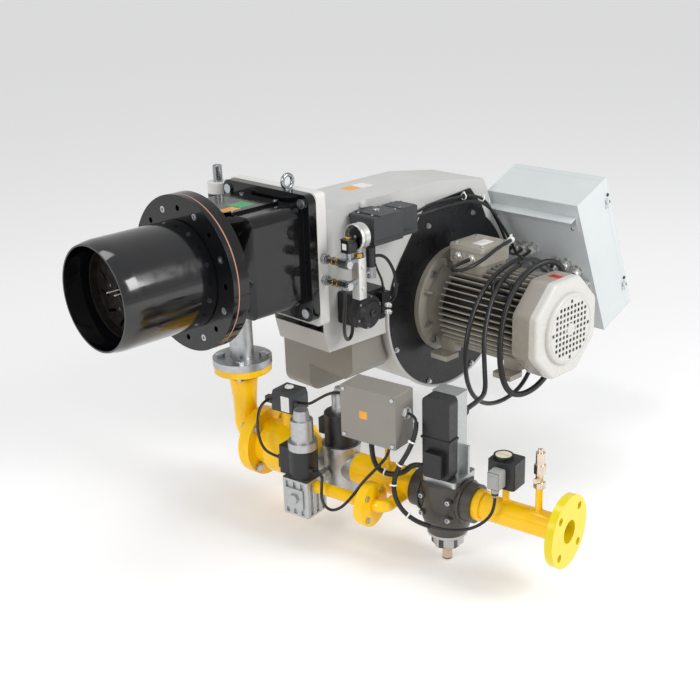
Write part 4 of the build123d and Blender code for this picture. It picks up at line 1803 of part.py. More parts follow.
with BuildPart() as actuator_plug:
    with BuildSketch(train_front(ACTUATOR_S, PLUG_X_BACK, ACTUATOR_SOCKET_Z)):
        Circle(PLUG_RADIUS)
    extrude(amount=PLUG_LENGTH)
    chamfer(actuator_plug.edges().group_by(Axis.X)[-1], 4)
save(actuator_plug.part, "actuator_plug")

# Free supply cable: out over the motor, down in a loop and back to the lower gland
SUPPLY_ROUTE = [
    cabinet_gland(3, GLAND_REACH),
    cabinet_gland(3, GLAND_REACH + 40),
    (940, -325, -135),
    (862, -342, -92),
    (775, -360, -86),
    (670, -378, -102),
    (588, -395, -155),
    (545, -405, -235),
    (540, -410, -315),
    (575, -405, -385),
    (645, -395, -435),
    (740, -385, -454),
    (838, -368, -446),
    (930, -335, -412),
    cabinet_gland(7, GLAND_REACH + 90),
    cabinet_gland(7, GLAND_REACH),
]
motor_supply_cable = cord(SUPPLY_ROUTE, CABLE_RADIUS, "motor_supply_cable")
save(motor_supply_cable, "motor_supply_cable")

# Short leads that are held all the way between the housings of the gas line
TRAIN_LEADS = (
    ("conduit", 6.5, (
        (-52, 432, -356), (-52, 432, -392), (-58, 450, -420), (-62, 486, -426),
        (-58, 524, -412), (-52, 548, -383), (-52, 578, -383),
    )),
    ("switch lead", LEAD_RADIUS, (
        (-44, 528, -268), (-44, 550, -268), (-62, 562, -298), (-76, 552, -340), (-84, 532, -378),
        (-88, 518, -415), (-90, 518, -452), (-90, 536, -486), (-90, 572, -505), (-86, 622, -510),
        (-80, 672, -505), (-70, 716, -489), (-54, 745, -462), (-46, 753, -432), (-46, 753, -406),
    )),
    ("pilot lead", LEAD_RADIUS, (
        (-52, 482, -356), (-52, 482, -376), (-80, 468, -404), (-110, 448, -432), (-136, 432, -468),
        (-150, 408, -498), (-152, 378, -510), (-148, 354, -494), (-136, 346, -466),
        (-120, 338, -440), (-120, 314, -440),
    )),
    ("servo lead", LEAD_RADIUS, (
        (-SERVO_WIDTH / 4 - SERVO_PLUG_DEPTH, SERVO_PLUG_S, -337),
        (-56, SERVO_PLUG_S, -337), (-82, 112, -362), (-102, 128, -398),
        (-110, 150, -430), (-105, 180, -441), (-105, 205, -441),
    )),
    ("position lead", LEAD_RADIUS, (
        (-10, 184, -335), (-10, 214, -335), (-22, 252, -308), (-34, 298, -276),
        (-40, 336, -262), (-40, 362, -262),
    )),
)
gas_train_cables = Compound(
    label="gas_train_cables",
    children=[
        cord([on_train(*place) for place in route], radius, name)
        for name, radius, route in TRAIN_LEADS
    ],
)
export_step(gas_train_cables, "parts/gas_train_cables.step")

# Leads held at the cabinet, the motor terminals and the air servo
PANEL_LEADS = (
    ("terminal lead", 5, (
        (717, -273, -80), (664, -273, -80), (616, -296, -82), (622, -340, -72), (690, -346, -58),
        (762, -334, -44), (838, -324, -40), (905, -272, -58), (950, -215, -98),
        cabinet_gland(0, GLAND_REACH + 50), cabinet_gland(0, GLAND_REACH),
    )),
    ("servo lead", 4, (
        (588, -176, 51.5), (628, -176, 51.5), (690, -162, 58), (770, -157, 54), (845, -160, 52),
        (905, -168, 36), (938, -182, -20), (964, -198, -82),
        cabinet_gland(1, GLAND_REACH + 50), cabinet_gland(1, GLAND_REACH),
    )),
    ("servo return", 4, (
        (588, -204, 51.5), (628, -204, 51.5), (688, -180, 44), (768, -168, 41), (842, -172, 40),
        (900, -184, 22), (930, -204, -30), (960, -224, -88),
        cabinet_gland(2, GLAND_REACH + 50), cabinet_gland(2, GLAND_REACH),
    )),
    ("conduit", 8, (
        cabinet_gland(5, GLAND_REACH), cabinet_gland(5, GLAND_REACH + 50), (952, -412, -152),
        (884, -438, -92), (802, -446, -70), (716, -446, -88), (652, -446, -152), (630, -446, -238),
        (636, -446, -326), (668, -446, -392), (734, -440, -424), (820, -430, -428),
        (908, -410, -408), (984, -374, -366), cabinet_gland(6, GLAND_REACH + 60),
        cabinet_gland(6, GLAND_REACH),
    )),
)

# Hoses and leads between the gauge group, the servo and the air pressure switch
FAN_HOSES = (
    ("lower hose", 4.5, (
        (303, -232, -66.4), (303, -232, -100), (312, -216, -152), (330, -196, -200),
        (360, -178, -228), (385, -170, -216), (385, -170, -191),
    )),
    ("side hose", 4, (
        (405, -232, -6), (434, -232, -6), (472, -228, -46), (500, -216, -96),
        (520, -196, -142), (507, -178, -168), (477, -178, -168),
    )),
    ("switch lead", 3, (
        (440, -190, 16), (440, -190, -16), (447, -199, -56), (458, -209, -88), (458, -209, -113),
    )),
)
fan_leads = Compound(
    label="fan_leads",
    children=[cord(route, radius, name) for name, radius, route in PANEL_LEADS + FAN_HOSES],
)
export_step(fan_leads, "parts/fan_leads.step")
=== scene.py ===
"""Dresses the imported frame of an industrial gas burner: finishes, cables, hoses, seals, dials and small fittings."""

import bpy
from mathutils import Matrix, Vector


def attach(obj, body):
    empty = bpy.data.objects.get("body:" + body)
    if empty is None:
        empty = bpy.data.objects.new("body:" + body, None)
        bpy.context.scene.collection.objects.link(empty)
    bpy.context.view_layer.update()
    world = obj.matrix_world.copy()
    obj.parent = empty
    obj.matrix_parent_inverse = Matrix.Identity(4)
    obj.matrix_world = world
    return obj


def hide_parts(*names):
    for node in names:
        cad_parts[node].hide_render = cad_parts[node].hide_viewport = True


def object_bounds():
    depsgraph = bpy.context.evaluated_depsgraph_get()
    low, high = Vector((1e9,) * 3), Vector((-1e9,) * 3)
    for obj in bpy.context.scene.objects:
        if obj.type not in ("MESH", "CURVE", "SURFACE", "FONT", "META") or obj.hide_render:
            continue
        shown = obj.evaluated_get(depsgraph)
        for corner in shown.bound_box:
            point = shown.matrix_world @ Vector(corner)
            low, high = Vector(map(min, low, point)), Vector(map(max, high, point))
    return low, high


bl_info = {
    "name": "Industrial gas burner",
    "version": (1, 0, 0),
    "blender": (4, 5, 0),
    "location": "View3D > Sidebar > Burner",
    "description": "Finishes, cables and fittings of a gas burner with its valve train and fan unit",
    "category": "Object",
}

from math import atan2, cos, pi, radians, sin

import bmesh
import bpy
from bpy.props import FloatProperty, FloatVectorProperty, IntProperty, PointerProperty
from mathutils import Matrix, Vector

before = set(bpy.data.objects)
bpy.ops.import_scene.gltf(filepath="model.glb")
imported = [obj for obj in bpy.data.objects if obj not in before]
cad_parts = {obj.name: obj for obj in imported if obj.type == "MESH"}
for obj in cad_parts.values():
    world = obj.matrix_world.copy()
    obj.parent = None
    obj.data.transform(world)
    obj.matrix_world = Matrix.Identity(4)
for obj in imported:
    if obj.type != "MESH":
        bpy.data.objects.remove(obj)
CAD_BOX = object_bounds()
MM = 0.001


def linear(code):
    """An sRGB hex colour as the four linear values that a shader takes."""
    parts = [int(code[i:i + 2], 16) / 255 for i in (0, 2, 4)]
    return [p / 12.92 if p <= 0.04045 else ((p + 0.055) / 1.055) ** 2.4 for p in parts] + [1.0]


def per(size):
    """Texture scale at which one feature is that many millimetres wide."""
    return 1 / (size * MM)


def add(tree, kind, inputs, **settings):
    """Adds a node with its settings. An input is a value, or the socket that feeds it."""
    node = tree.nodes.new(kind)
    for name, value in settings.items():
        setattr(node, name, value)
    for key, value in inputs.items():
        if isinstance(value, bpy.types.NodeSocket):
            tree.links.new(value, node.inputs[key])
        else:
            node.inputs[key].default_value = value
    return node


# Sizes and colours that an owner may change


class BurnerPaints(bpy.types.PropertyGroup):
    """Paint colours of the burner's large parts."""

    head: FloatVectorProperty(
        name="Head", description="Gloss enamel of the cast head", subtype="COLOR", size=4,
        default=linear("0b0c0e"), min=0, max=1)
    gas_line: FloatVectorProperty(
        name="Gas line", description="Enamel of the gas pipes", subtype="COLOR", size=4,
        default=linear("ffc90a"), min=0, max=1)
    inlet_flange: FloatVectorProperty(
        name="Inlet flange", description="Enamel of the flange at the gas inlet", subtype="COLOR", size=4,
        default=linear("e8d410"), min=0, max=1)
    fan_casing: FloatVectorProperty(
        name="Fan casing", description="Powder coat of the scroll", subtype="COLOR", size=4,
        default=linear("cbcbc9"), min=0, max=1)
    cabinet: FloatVectorProperty(
        name="Cabinet", description="Powder coat of the control cabinet", subtype="COLOR", size=4,
        default=linear("d2d7d8"), min=0, max=1)
    motor: FloatVectorProperty(
        name="Motor", description="Enamel of the motor's finned body", subtype="COLOR", size=4,
        default=linear("a8a398"), min=0, max=1)


class BurnerFittings(bpy.types.PropertyGroup):
    """Sizes of the cables and small fittings."""

    cable: FloatProperty(
        name="Cable", description="Diameter of the two long cables", unit="LENGTH",
        default=0.012, min=0.008, max=0.016)
    lead: FloatProperty(
        name="Lead", description="Diameter of the short leads on the gas line", unit="LENGTH",
        default=0.007, min=0.004, max=0.01)
    rib_pitch: FloatProperty(
        name="Conduit rib", description="Distance between the conduit's ribs", unit="LENGTH",
        default=0.005, min=0.003, max=0.01)
    weld: FloatProperty(
        name="Weld", description="Width of the weld beads on the gas pipes", unit="LENGTH",
        default=0.007, min=0.003, max=0.012)
    gauge_marks: IntProperty(
        name="Gauge marks", description="Long marks round the gauge's dial", default=11, min=5, max=21)


# Finishes


def new_finish(name):
    """An empty node material: its tree, the object's own coordinates and its shader."""
    material = bpy.data.materials.new(name)
    material.use_nodes = True
    tree = material.node_tree
    tree.nodes.clear()
    place = add(tree, "ShaderNodeTexCoord", {}).outputs["Object"]
    shader = add(tree, "ShaderNodeBsdfPrincipled", {})
    add(tree, "ShaderNodeOutputMaterial", {"Surface": shader.outputs[0]})
    return material, tree, place, shader


def shade(tree, place, colour, size, spread, detail=4.0):
    """The colour, a little lighter and darker in clouds of that size in millimetres."""
    cloud = add(tree, "ShaderNodeTexNoise", {"Vector": place, "Scale": per(size), "Detail": detail})
    tone = add(tree, "ShaderNodeMapRange", {
        "Value": cloud.outputs[0], "From Min": 0.3, "From Max": 0.7, "To Min": 1 - spread, "To Max": 1 + spread})
    return add(tree, "ShaderNodeVectorMath", {0: colour[:3], 1: tone.outputs[0]}, operation="MULTIPLY").outputs[0]


def rough(tree, place, size, low, high):
    """Roughness that wanders between two values in patches of that size in millimetres."""
    patch = add(tree, "ShaderNodeTexNoise", {"Vector": place, "Scale": per(size), "Detail": 3.0})
    return add(tree, "ShaderNodeMapRange", {
        "Value": patch.outputs[0], "From Min": 0.35, "From Max": 0.65, "To Min": low, "To Max": high}).outputs[0]


def grain(tree, place, size, depth, detail=2.0, edge=0.0008):
    """A bumped normal of that grain and depth in millimetres, with the part's edges broken by edge metres."""
    noise = add(tree, "ShaderNodeTexNoise", {"Vector": place, "Scale": per(size), "Detail": detail})
    soft = add(tree, "ShaderNodeBevel", {"Radius": edge}, samples=4)
    return add(tree, "ShaderNodeBump", {
        "Height": noise.outputs[0], "Strength": 1.0, "Distance": depth * MM, "Normal": soft.outputs[0]}).outputs[0]


def sprayed(name, colour, peel=2.5, depth=0.012, low=0.12, high=0.22, cloud=60, spread=0.05, coat=0.0):
    """Enamel sprayed on metal: its orange peel bends the reflections, and thick and thin places shade it."""
    material, tree, place, shader = new_finish(name)
    tree.links.new(shade(tree, place, colour, cloud, spread), shader.inputs["Base Color"])
    tree.links.new(rough(tree, place, 25, low, high), shader.inputs["Roughness"])
    tree.links.new(grain(tree, place, peel, depth), shader.inputs["Normal"])
    shader.inputs["IOR"].default_value = 1.5
    shader.inputs["Coat Weight"].default_value = coat
    shader.inputs["Coat Roughness"].default_value = 0.06
    return material


def powder(name, colour, pebble=1.6, depth=0.03, low=0.38, high=0.48, spread=0.025):
    """Polyester powder baked on sheet: a satin skin of fine pebbles, even in colour."""
    material, tree, place, shader = new_finish(name)
    tree.links.new(shade(tree, place, colour, 90, spread), shader.inputs["Base Color"])
    tree.links.new(rough(tree, place, 40, low, high), shader.inputs["Roughness"])
    tree.links.new(grain(tree, place, pebble, depth), shader.inputs["Normal"])
    shader.inputs["IOR"].default_value = 1.5
    return material


def moulded(name, colour, spark=0.8, depth=0.02, low=0.34, high=0.46, spread=0.04):
    """Moulded plastic: the spark-eroded mould leaves a fine matt grain, a little shinier where it is handled."""
    material, tree, place, shader = new_finish(name)
    tree.links.new(shade(tree, place, colour, 30, spread), shader.inputs["Base Color"])
    tree.links.new(rough(tree, place, 15, low, high), shader.inputs["Roughness"])
    tree.links.new(grain(tree, place, spark, depth), shader.inputs["Normal"])
    shader.inputs["IOR"].default_value = 1.54
    return material


def bare_metal(name, colour, size=1.2, depth=0.02, low=0.22, high=0.38, cloud=18, spread=0.06):
    """Metal without paint: cloudy where it was cast or plated, and dull where hands have been."""
    material, tree, place, shader = new_finish(name)
    tree.links.new(shade(tree, place, colour, cloud, spread), shader.inputs["Base Color"])
    tree.links.new(rough(tree, place, 8, low, high), shader.inputs["Roughness"])
    tree.links.new(grain(tree, place, size, depth), shader.inputs["Normal"])
    shader.inputs["Metallic"].default_value = 1.0
    return material


def cast_enamel(name, colour, sand=11, depth=0.3, low=0.08, high=0.2, coat=0.3):
    """Gloss enamel over a sand casting: the casting's lumps show through a smooth wet-looking coat."""
    material, tree, place, shader = new_finish(name)
    tree.links.new(shade(tree, place, colour, 80, 0.08), shader.inputs["Base Color"])
    tree.links.new(rough(tree, place, 30, low, high), shader.inputs["Roughness"])
    tree.links.new(grain(tree, place, sand, depth, detail=1.0, edge=0.0016), shader.inputs["Normal"])
    shader.inputs["IOR"].default_value = 1.5
    shader.inputs["Specular IOR Level"].default_value = 0.34
    shader.inputs["Coat Weight"].default_value = coat
    shader.inputs["Coat Roughness"].default_value = 0.05
    return material


def spangled(name, colour):
    """Hot-dip galvanised sheet: zinc crystals 9 mm across, each a slightly different grey."""
    material, tree, place, shader = new_finish(name)
    crystals = add(tree, "ShaderNodeTexVoronoi", {"Vector": place, "Scale": per(9)}, feature="F1")
    tone = add(tree, "ShaderNodeMapRange", {"Value": crystals.outputs["Color"], "To Min": 0.82, "To Max": 1.1})
    tinted = add(tree, "ShaderNodeVectorMath", {0: colour[:3], 1: tone.outputs[0]}, operation="MULTIPLY")
    tree.links.new(tinted.outputs[0], shader.inputs["Base Color"])
    tree.links.new(rough(tree, place, 6, 0.3, 0.45), shader.inputs["Roughness"])
    shader.inputs["Metallic"].default_value = 1.0
    return material


def rubber(name, colour):
    """Extruded cable sheath: dull black with a soft sheen and faint die lines 2 mm apart."""
    material, tree, place, shader = new_finish(name)
    tree.links.new(shade(tree, place, colour, 25, 0.1), shader.inputs["Base Color"])
    tree.links.new(rough(tree, place, 12, 0.3, 0.42), shader.inputs["Roughness"])
    tree.links.new(grain(tree, place, 2, 0.02, edge=0.0002), shader.inputs["Normal"])
    shader.inputs["IOR"].default_value = 1.52
    return material


def film(name, colour):
    """Self-adhesive vinyl: smooth, even and half glossy, with a faint waviness from the metal below."""
    material, tree, place, shader = new_finish(name)
    tree.links.new(shade(tree, place, colour, 20, 0.02), shader.inputs["Base Color"])
    tree.links.new(rough(tree, place, 18, 0.26, 0.36), shader.inputs["Roughness"])
    tree.links.new(grain(tree, place, 6, 0.01, edge=0.0001), shader.inputs["Normal"])
    shader.inputs["IOR"].default_value = 1.53
    return material


def window(name):
    """Clear glass: only its reflections and its edge show."""
    material, tree, place, shader = new_finish(name)
    shader.inputs["Base Color"].default_value = (1, 1, 1, 1)
    shader.inputs["Roughness"].default_value = 0.02
    shader.inputs["IOR"].default_value = 1.5
    shader.inputs["Transmission Weight"].default_value = 1.0
    return material


def two_coats(name, colour, second, axis, edge, **coat):
    """Enamel that changes to a second coat beyond a place along an axis, in metres."""
    material = sprayed(name, colour, **coat)
    tree = material.node_tree
    shader = next(n for n in tree.nodes if n.type == "BSDF_PRINCIPLED")
    place = next(n for n in tree.nodes if n.type == "TEX_COORD").outputs["Object"]
    reach = add(tree, "ShaderNodeVectorMath", {0: place, 1: axis}, operation="DOT_PRODUCT")
    past = add(tree, "ShaderNodeMapRange", {
        "Value": reach.outputs["Value"], "From Min": edge - 0.001, "From Max": edge + 0.001})
    was = shader.inputs["Base Color"].links[0].from_socket
    mix = add(tree, "ShaderNodeMix", {
        "Factor": past.outputs[0], "A": was, "B": shade(tree, place, second, 60, 0.015)}, data_type="RGBA")
    tree.links.new(mix.outputs["Result"], shader.inputs["Base Color"])
    return material


def fins_with_painted_shade(name, colour):
    """Enamel on motor fins, with painted shade: its colour darkens towards the fins' roots, nearly black there,
    standing in for the shade between the fins.
    """
    material = cast_enamel(name, colour, sand=2.5, depth=0.05, low=0.3, high=0.42, coat=0.15)
    tree = material.node_tree
    shader = next(n for n in tree.nodes if n.type == "BSDF_PRINCIPLED")
    place = next(n for n in tree.nodes if n.type == "TEX_COORD").outputs["Object"]
    flat = add(tree, "ShaderNodeVectorMath", {0: place, 1: (1, 0, 1)}, operation="MULTIPLY")
    reach = add(tree, "ShaderNodeVectorMath", {0: flat.outputs[0], 1: FAN * MM}, operation="DISTANCE")
    # Painted shade: the colour fades from full at the fins' tips to nearly black at their roots.
    painted_root_shade = add(tree, "ShaderNodeMapRange", {
        "Value": reach.outputs["Value"], "From Min": FIN_ROOT * MM, "From Max": FIN_TIP * MM, "To Min": 0.06})
    dark = add(tree, "ShaderNodeVectorMath", {
        0: shader.inputs["Base Color"].links[0].from_socket, 1: painted_root_shade.outputs[0]}, operation="MULTIPLY")
    tree.links.new(dark.outputs[0], shader.inputs["Base Color"])
    return material


# Places

LINE_ORIGIN = Vector((159, 0, 0))
LINE_AXIS = Vector((sin(radians(9)), -cos(radians(9)), 0))
LINE_SIDE = Vector((cos(radians(9)), sin(radians(9)), 0))
CABINET_UP = Vector((-sin(radians(22.5)), 0, cos(radians(22.5))))
CABINET_BACK = Vector((cos(radians(22.5)), 0, sin(radians(22.5))))
CABINET_CORNER = Vector((984, -118, 34))
CABINET_HEIGHT = 426
GLAND_ROWS = [-share * CABINET_HEIGHT for share in (0.404, 0.481, 0.526, 0.798, 0.845)]
GLANDS = (
    (GLAND_ROWS[0], 54), (GLAND_ROWS[0], 90), (GLAND_ROWS[0], 118), (GLAND_ROWS[1], 190),
    (GLAND_ROWS[1], 225), (GLAND_ROWS[2], 256), (GLAND_ROWS[3], 200), (GLAND_ROWS[4], 165),
)
GLAND_REACH = 22
# The motor's axis, and the radii over which the fins' painted shade goes from nearly black at their roots to none at
# their tips
FAN = Vector((797, 0, -231))
FIN_ROOT = 104
FIN_TIP = 122
COVER_FRONT = 0.508


def on_line(x, s, z):
    """A point beside the gas line: x across it, s along it, z as the burner's own height."""
    return LINE_ORIGIN + LINE_SIDE * x + LINE_AXIS * s + Vector((0, 0, z))


def on_cabinet(back, down, along):
    """A point on the leaning cabinet, from the top edge of its front wall."""
    return CABINET_CORNER + CABINET_BACK * back + CABINET_UP * down - Vector((0, along, 0))


def at_gland(index, reach):
    """A point that far in front of one of the cabinet's cable glands."""
    down, along = GLANDS[index]
    return on_cabinet(-reach, down, along)


def standing(origin, axis, top=(0, 0, 1)):
    """The matrix of a piece whose own Z lies along axis, its origin given in millimetres."""
    z = Vector(axis).normalized()
    x = Vector(top).cross(z)
    if x.length < 0.01:
        x = Vector((1, 0, 0))
    x.normalize()
    turn = Matrix((x, z.cross(x), z)).transposed().to_4x4()
    return Matrix.Translation(Vector(origin) * MM) @ turn


# Makers


def piece(name, mesh, material, body, smooth=40):
    """A finished mesh as a named piece that rides on a body."""
    made = bpy.data.objects.new(name, mesh)
    bpy.context.scene.collection.objects.link(made)
    for one in material if isinstance(material, (list, tuple)) else [material]:
        mesh.materials.append(one)
    mesh.polygons.foreach_set("use_smooth", [True] * len(mesh.polygons))
    mesh.set_sharp_from_angle(angle=radians(smooth))
    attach(made, body)
    return made


def lathe(form, profile, matrix, steps=40, turn=2 * pi, paint=0):
    """Turns a profile of (radius, height) in millimetres round the matrix's Z."""
    closed = abs(turn - 2 * pi) < 1e-6
    count = steps if closed else steps + 1
    rings = []
    for radius, height in profile:
        if radius < 1e-6:
            rings.append([form.verts.new(matrix @ Vector((0, 0, height * MM)))] * count)
            continue
        rings.append([form.verts.new(matrix @ Vector((
            radius * MM * cos(turn * i / steps), radius * MM * sin(turn * i / steps), height * MM)))
            for i in range(count)])
    for lower, upper in zip(rings, rings[1:]):
        for i in range(steps):
            j = (i + 1) % count
            corners = []
            for vert in (lower[i], lower[j], upper[j], upper[i]):
                if vert not in corners:
                    corners.append(vert)
            if len(corners) > 2:
                form.faces.new(corners).material_index = paint


def slab(form, outline, matrix, low, high, bevel=0.0, paint=0):
    """Raises a flat outline of (x, y) in millimetres from low to high, its top edge broken by bevel."""
    levels = [(low, 0.0)]
    if bevel:
        levels += [(high - bevel, 0.0), (high, bevel)]
    else:
        levels += [(high, 0.0)]
    count = len(outline)
    middle = Vector((sum(p[0] for p in outline) / count, sum(p[1] for p in outline) / count))
    rings = []
    for height, inset in levels:
        ring = []
        for x, y in outline:
            away = Vector((x, y)) - middle
            spot = middle + away * (1 - inset * 1.2 / max(away.length, 1e-6))
            ring.append(form.verts.new(matrix @ Vector((spot.x * MM, spot.y * MM, height * MM))))
        rings.append(ring)
    for lower, upper in zip(rings, rings[1:]):
        for i in range(count):
            j = (i + 1) % count
            form.faces.new((lower[i], lower[j], upper[j], upper[i])).material_index = paint
    form.faces.new(rings[-1]).material_index = paint
    form.faces.new(rings[0][::-1]).material_index = paint


def rounded(width, height, corner, steps=4):
    """Outline of a rectangle with rounded corners, centred, in millimetres."""
    outline = []
    for quarter in range(4):
        cx = (width / 2 - corner) * (1 if quarter in (0, 3) else -1)
        cy = (height / 2 - corner) * (1 if quarter in (0, 1) else -1)
        for i in range(steps + 1):
            angle = pi / 2 * (quarter + i / steps)
            outline.append((cx + corner * cos(angle), cy + corner * sin(angle)))
    return outline


def polygon(count, radius, start=0.0):
    """Outline of a regular polygon of that corner radius, in millimetres."""
    return [(radius * cos(start + 2 * pi * i / count), radius * sin(start + 2 * pi * i / count)) for i in range(count)]


def built(name, make, material, body, smooth=40):
    """Runs a maker on an empty mesh and gives the piece."""
    form = bmesh.new()
    make(form)
    bmesh.ops.recalc_face_normals(form, faces=form.faces)
    mesh = bpy.data.meshes.new(name)
    form.to_mesh(mesh)
    form.free()
    return piece(name, mesh, material, body, smooth)


def cable(name, routes, radius, material, body, sides=4):
    """Round cables that bend smoothly past the points of their routes, given in millimetres."""
    curve = bpy.data.curves.new(name, "CURVE")
    curve.dimensions = "3D"
    curve.bevel_depth = radius * MM
    curve.bevel_resolution = sides
    curve.use_fill_caps = True
    for route in routes:
        spline = curve.splines.new("NURBS")
        spline.points.add(len(route) - 1)
        for point, spot in zip(spline.points, route):
            point.co = (*(Vector(spot) * MM), 1)
        spline.order_u = 3
        spline.use_endpoint_u = True
        spline.resolution_u = 10
    curve.materials.append(material)
    made = bpy.data.objects.new(name, curve)
    bpy.context.scene.collection.objects.link(made)
    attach(made, body)
    return made


def centreline(route):
    """Points along the smooth line of a route, in metres."""
    curve = bpy.data.curves.new("line", "CURVE")
    curve.dimensions = "3D"
    spline = curve.splines.new("NURBS")
    spline.points.add(len(route) - 1)
    for point, spot in zip(spline.points, route):
        point.co = (*(Vector(spot) * MM), 1)
    spline.order_u = 3
    spline.use_endpoint_u = True
    spline.resolution_u = 24
    carrier = bpy.data.objects.new("line", curve)
    mesh = bpy.data.meshes.new_from_object(carrier)
    points = [vert.co.copy() for vert in mesh.vertices]
    bpy.data.meshes.remove(mesh)
    bpy.data.objects.remove(carrier)
    bpy.data.curves.remove(curve)
    return points


def even(points, step):
    """The same line as points one step apart."""
    spaced = [points[0]]
    left = step
    for here, there in zip(points, points[1:]):
        run = there - here
        length = run.length
        done = 0.0
        while length - done >= left > 0:
            done += left
            spaced.append(here + run * (done / length))
            left = step
        left -= length - done
    return spaced


def ribbed(form, line, radius, rib, step):
    """A corrugated tube along evenly spaced points, its ribs standing rib above radius."""
    up = Vector((0, 0, 1))
    rings = []
    for index, spot in enumerate(line):
        ahead = line[min(index + 1, len(line) - 1)] - line[max(index - 1, 0)]
        z = ahead.normalized()
        x = up.cross(z) if abs(up.dot(z)) < 0.98 else Vector((1, 0, 0)).cross(z)
        x.normalize()
        y = z.cross(x)
        up = y
        reach = (radius + (rib if index % 4 in (1, 2) else 0.0)) * MM
        rings.append([form.verts.new(spot + (x * cos(a) + y * sin(a)) * reach)
                      for a in (2 * pi * i / 14 for i in range(14))])
    for lower, upper in zip(rings, rings[1:]):
        for i in range(14):
            j = (i + 1) % 14
            form.faces.new((lower[i], lower[j], upper[j], upper[i]))
    form.faces.new(rings[-1])
    form.faces.new(rings[0][::-1])


def hoop(form, matrix, radius, wire, steps=40, sides=8, ripple=0.0, paint=0):
    """A ring of round wire about the matrix's Z, its wire made uneven by ripple as a weld is."""
    rings = []
    for i in range(steps):
        around = 2 * pi * i / steps
        swell = wire * (1 + ripple * sin(7 * around) * cos(13 * around))
        rings.append([form.verts.new(matrix @ Vector((
            (radius + swell * cos(a)) * MM * cos(around), (radius + swell * cos(a)) * MM * sin(around),
            swell * MM * sin(a)))) for a in (2 * pi * k / sides for k in range(sides))])
    for i in range(steps):
        for k in range(sides):
            j, m = (i + 1) % steps, (k + 1) % sides
            form.faces.new((rings[i][k], rings[j][k], rings[j][m], rings[i][m])).material_index = paint


def screw(form, matrix, radius, height=None, paint=0):
    """A socket-head screw standing on the matrix's origin."""
    tall = height or radius
    lathe(form, [(0, 0), (radius, 0), (radius, tall * 0.8), (radius * 0.86, tall), (radius * 0.55, tall)],
          matrix, 20, paint=paint)
    slab(form, polygon(6, radius * 0.55), matrix, tall * 0.35, tall * 0.36, paint=paint)
    lathe(form, [(radius * 0.55, tall), (radius * 0.5, tall * 0.36)], matrix, 6, paint=paint)


def finish(slot):
    """The finish made for a material slot of the record, or for one of the scene's own."""
    return next(material for material in bpy.data.materials if material.get("slot") == slot)


# Cables and leads

PLUG_BACK = 82.3
ACTUATOR_ROUTE = [
    at_gland(4, 22), at_gland(4, 62), (940, -358, -130), (862, -374, -88), (772, -392, -82),
    (678, -412, -94), (604, -432, -142), (556, -454, -210), (514, -492, -266), (460, -540, -298),
    on_line(PLUG_BACK + 60, 601, -290), on_line(PLUG_BACK, 601, -290),
]
SUPPLY_ROUTE = [
    at_gland(3, 22), at_gland(3, 62), (940, -325, -135), (862, -342, -92), (775, -360, -86),
    (670, -378, -102), (588, -395, -155), (545, -405, -235), (540, -410, -315), (575, -405, -385),
    (645, -395, -435), (740, -385, -454), (838, -368, -446), (930, -335, -412),
    at_gland(7, 112), at_gland(7, 22),
]
LINE_CONDUIT = [
    (-52, 432, -356), (-52, 432, -392), (-58, 450, -420), (-62, 486, -426), (-58, 524, -412),
    (-52, 548, -383), (-52, 578, -383),
]
LINE_LEADS = (
    [(-44, 528, -268), (-44, 550, -268), (-62, 562, -298), (-76, 552, -340), (-84, 532, -378),
     (-88, 518, -415), (-90, 518, -452), (-90, 536, -486), (-90, 572, -505), (-86, 622, -510),
     (-80, 672, -505), (-70, 716, -489), (-54, 745, -462), (-46, 753, -432), (-46, 753, -406)],
    [(-52, 482, -356), (-52, 482, -376), (-80, 468, -404), (-110, 448, -432), (-136, 432, -468),
     (-150, 408, -498), (-152, 378, -510), (-148, 354, -494), (-136, 346, -466),
     (-120, 338, -440), (-120, 314, -440)],
    [(-32, 106, -337), (-56, 106, -337), (-82, 112, -362), (-102, 128, -398),
     (-110, 150, -430), (-105, 180, -441), (-105, 205, -441)],
    [(-10, 184, -335), (-10, 214, -335), (-22, 252, -308), (-34, 298, -276),
     (-40, 336, -262), (-40, 362, -262)],
)
TERMINAL_LEAD = [
    (717, -273, -80), (664, -273, -80), (616, -296, -82), (622, -340, -72), (690, -346, -58),
    (762, -334, -44), (838, -324, -40), (905, -272, -58), (950, -215, -98), at_gland(0, 72), at_gland(0, 22),
]
SERVO_LEADS = (
    [(588, -176, 51.5), (628, -176, 51.5), (690, -162, 58), (770, -157, 54), (845, -160, 52),
     (905, -168, 36), (938, -182, -20), (964, -198, -82), at_gland(1, 72), at_gland(1, 22)],
    [(588, -204, 51.5), (628, -204, 51.5), (688, -180, 44), (768, -168, 41), (842, -172, 40),
     (900, -184, 22), (930, -204, -30), (960, -224, -88), at_gland(2, 72), at_gland(2, 22)],
)
PANEL_CONDUIT = [
    at_gland(5, 22), at_gland(5, 72), (952, -412, -152), (884, -438, -92), (802, -446, -70),
    (716, -446, -88), (652, -446, -152), (630, -446, -238), (636, -446, -326), (668, -446, -392),
    (734, -440, -424), (820, -430, -428), (908, -410, -408), (984, -374, -366), at_gland(6, 82), at_gland(6, 22),
]
LOWER_HOSE = [
    (303, -232, -66.4), (303, -232, -100), (312, -216, -152), (330, -196, -200), (360, -178, -228),
    (385, -170, -216), (385, -170, -191),
]
SIDE_HOSE = [
    (405, -232, -6), (434, -232, -6), (472, -228, -46), (500, -216, -96), (520, -196, -142),
    (507, -178, -168), (477, -178, -168),
]
AIR_SWITCH_LEAD = [(440, -190, 16), (440, -190, -16), (447, -199, -56), (458, -209, -88), (458, -209, -113)]


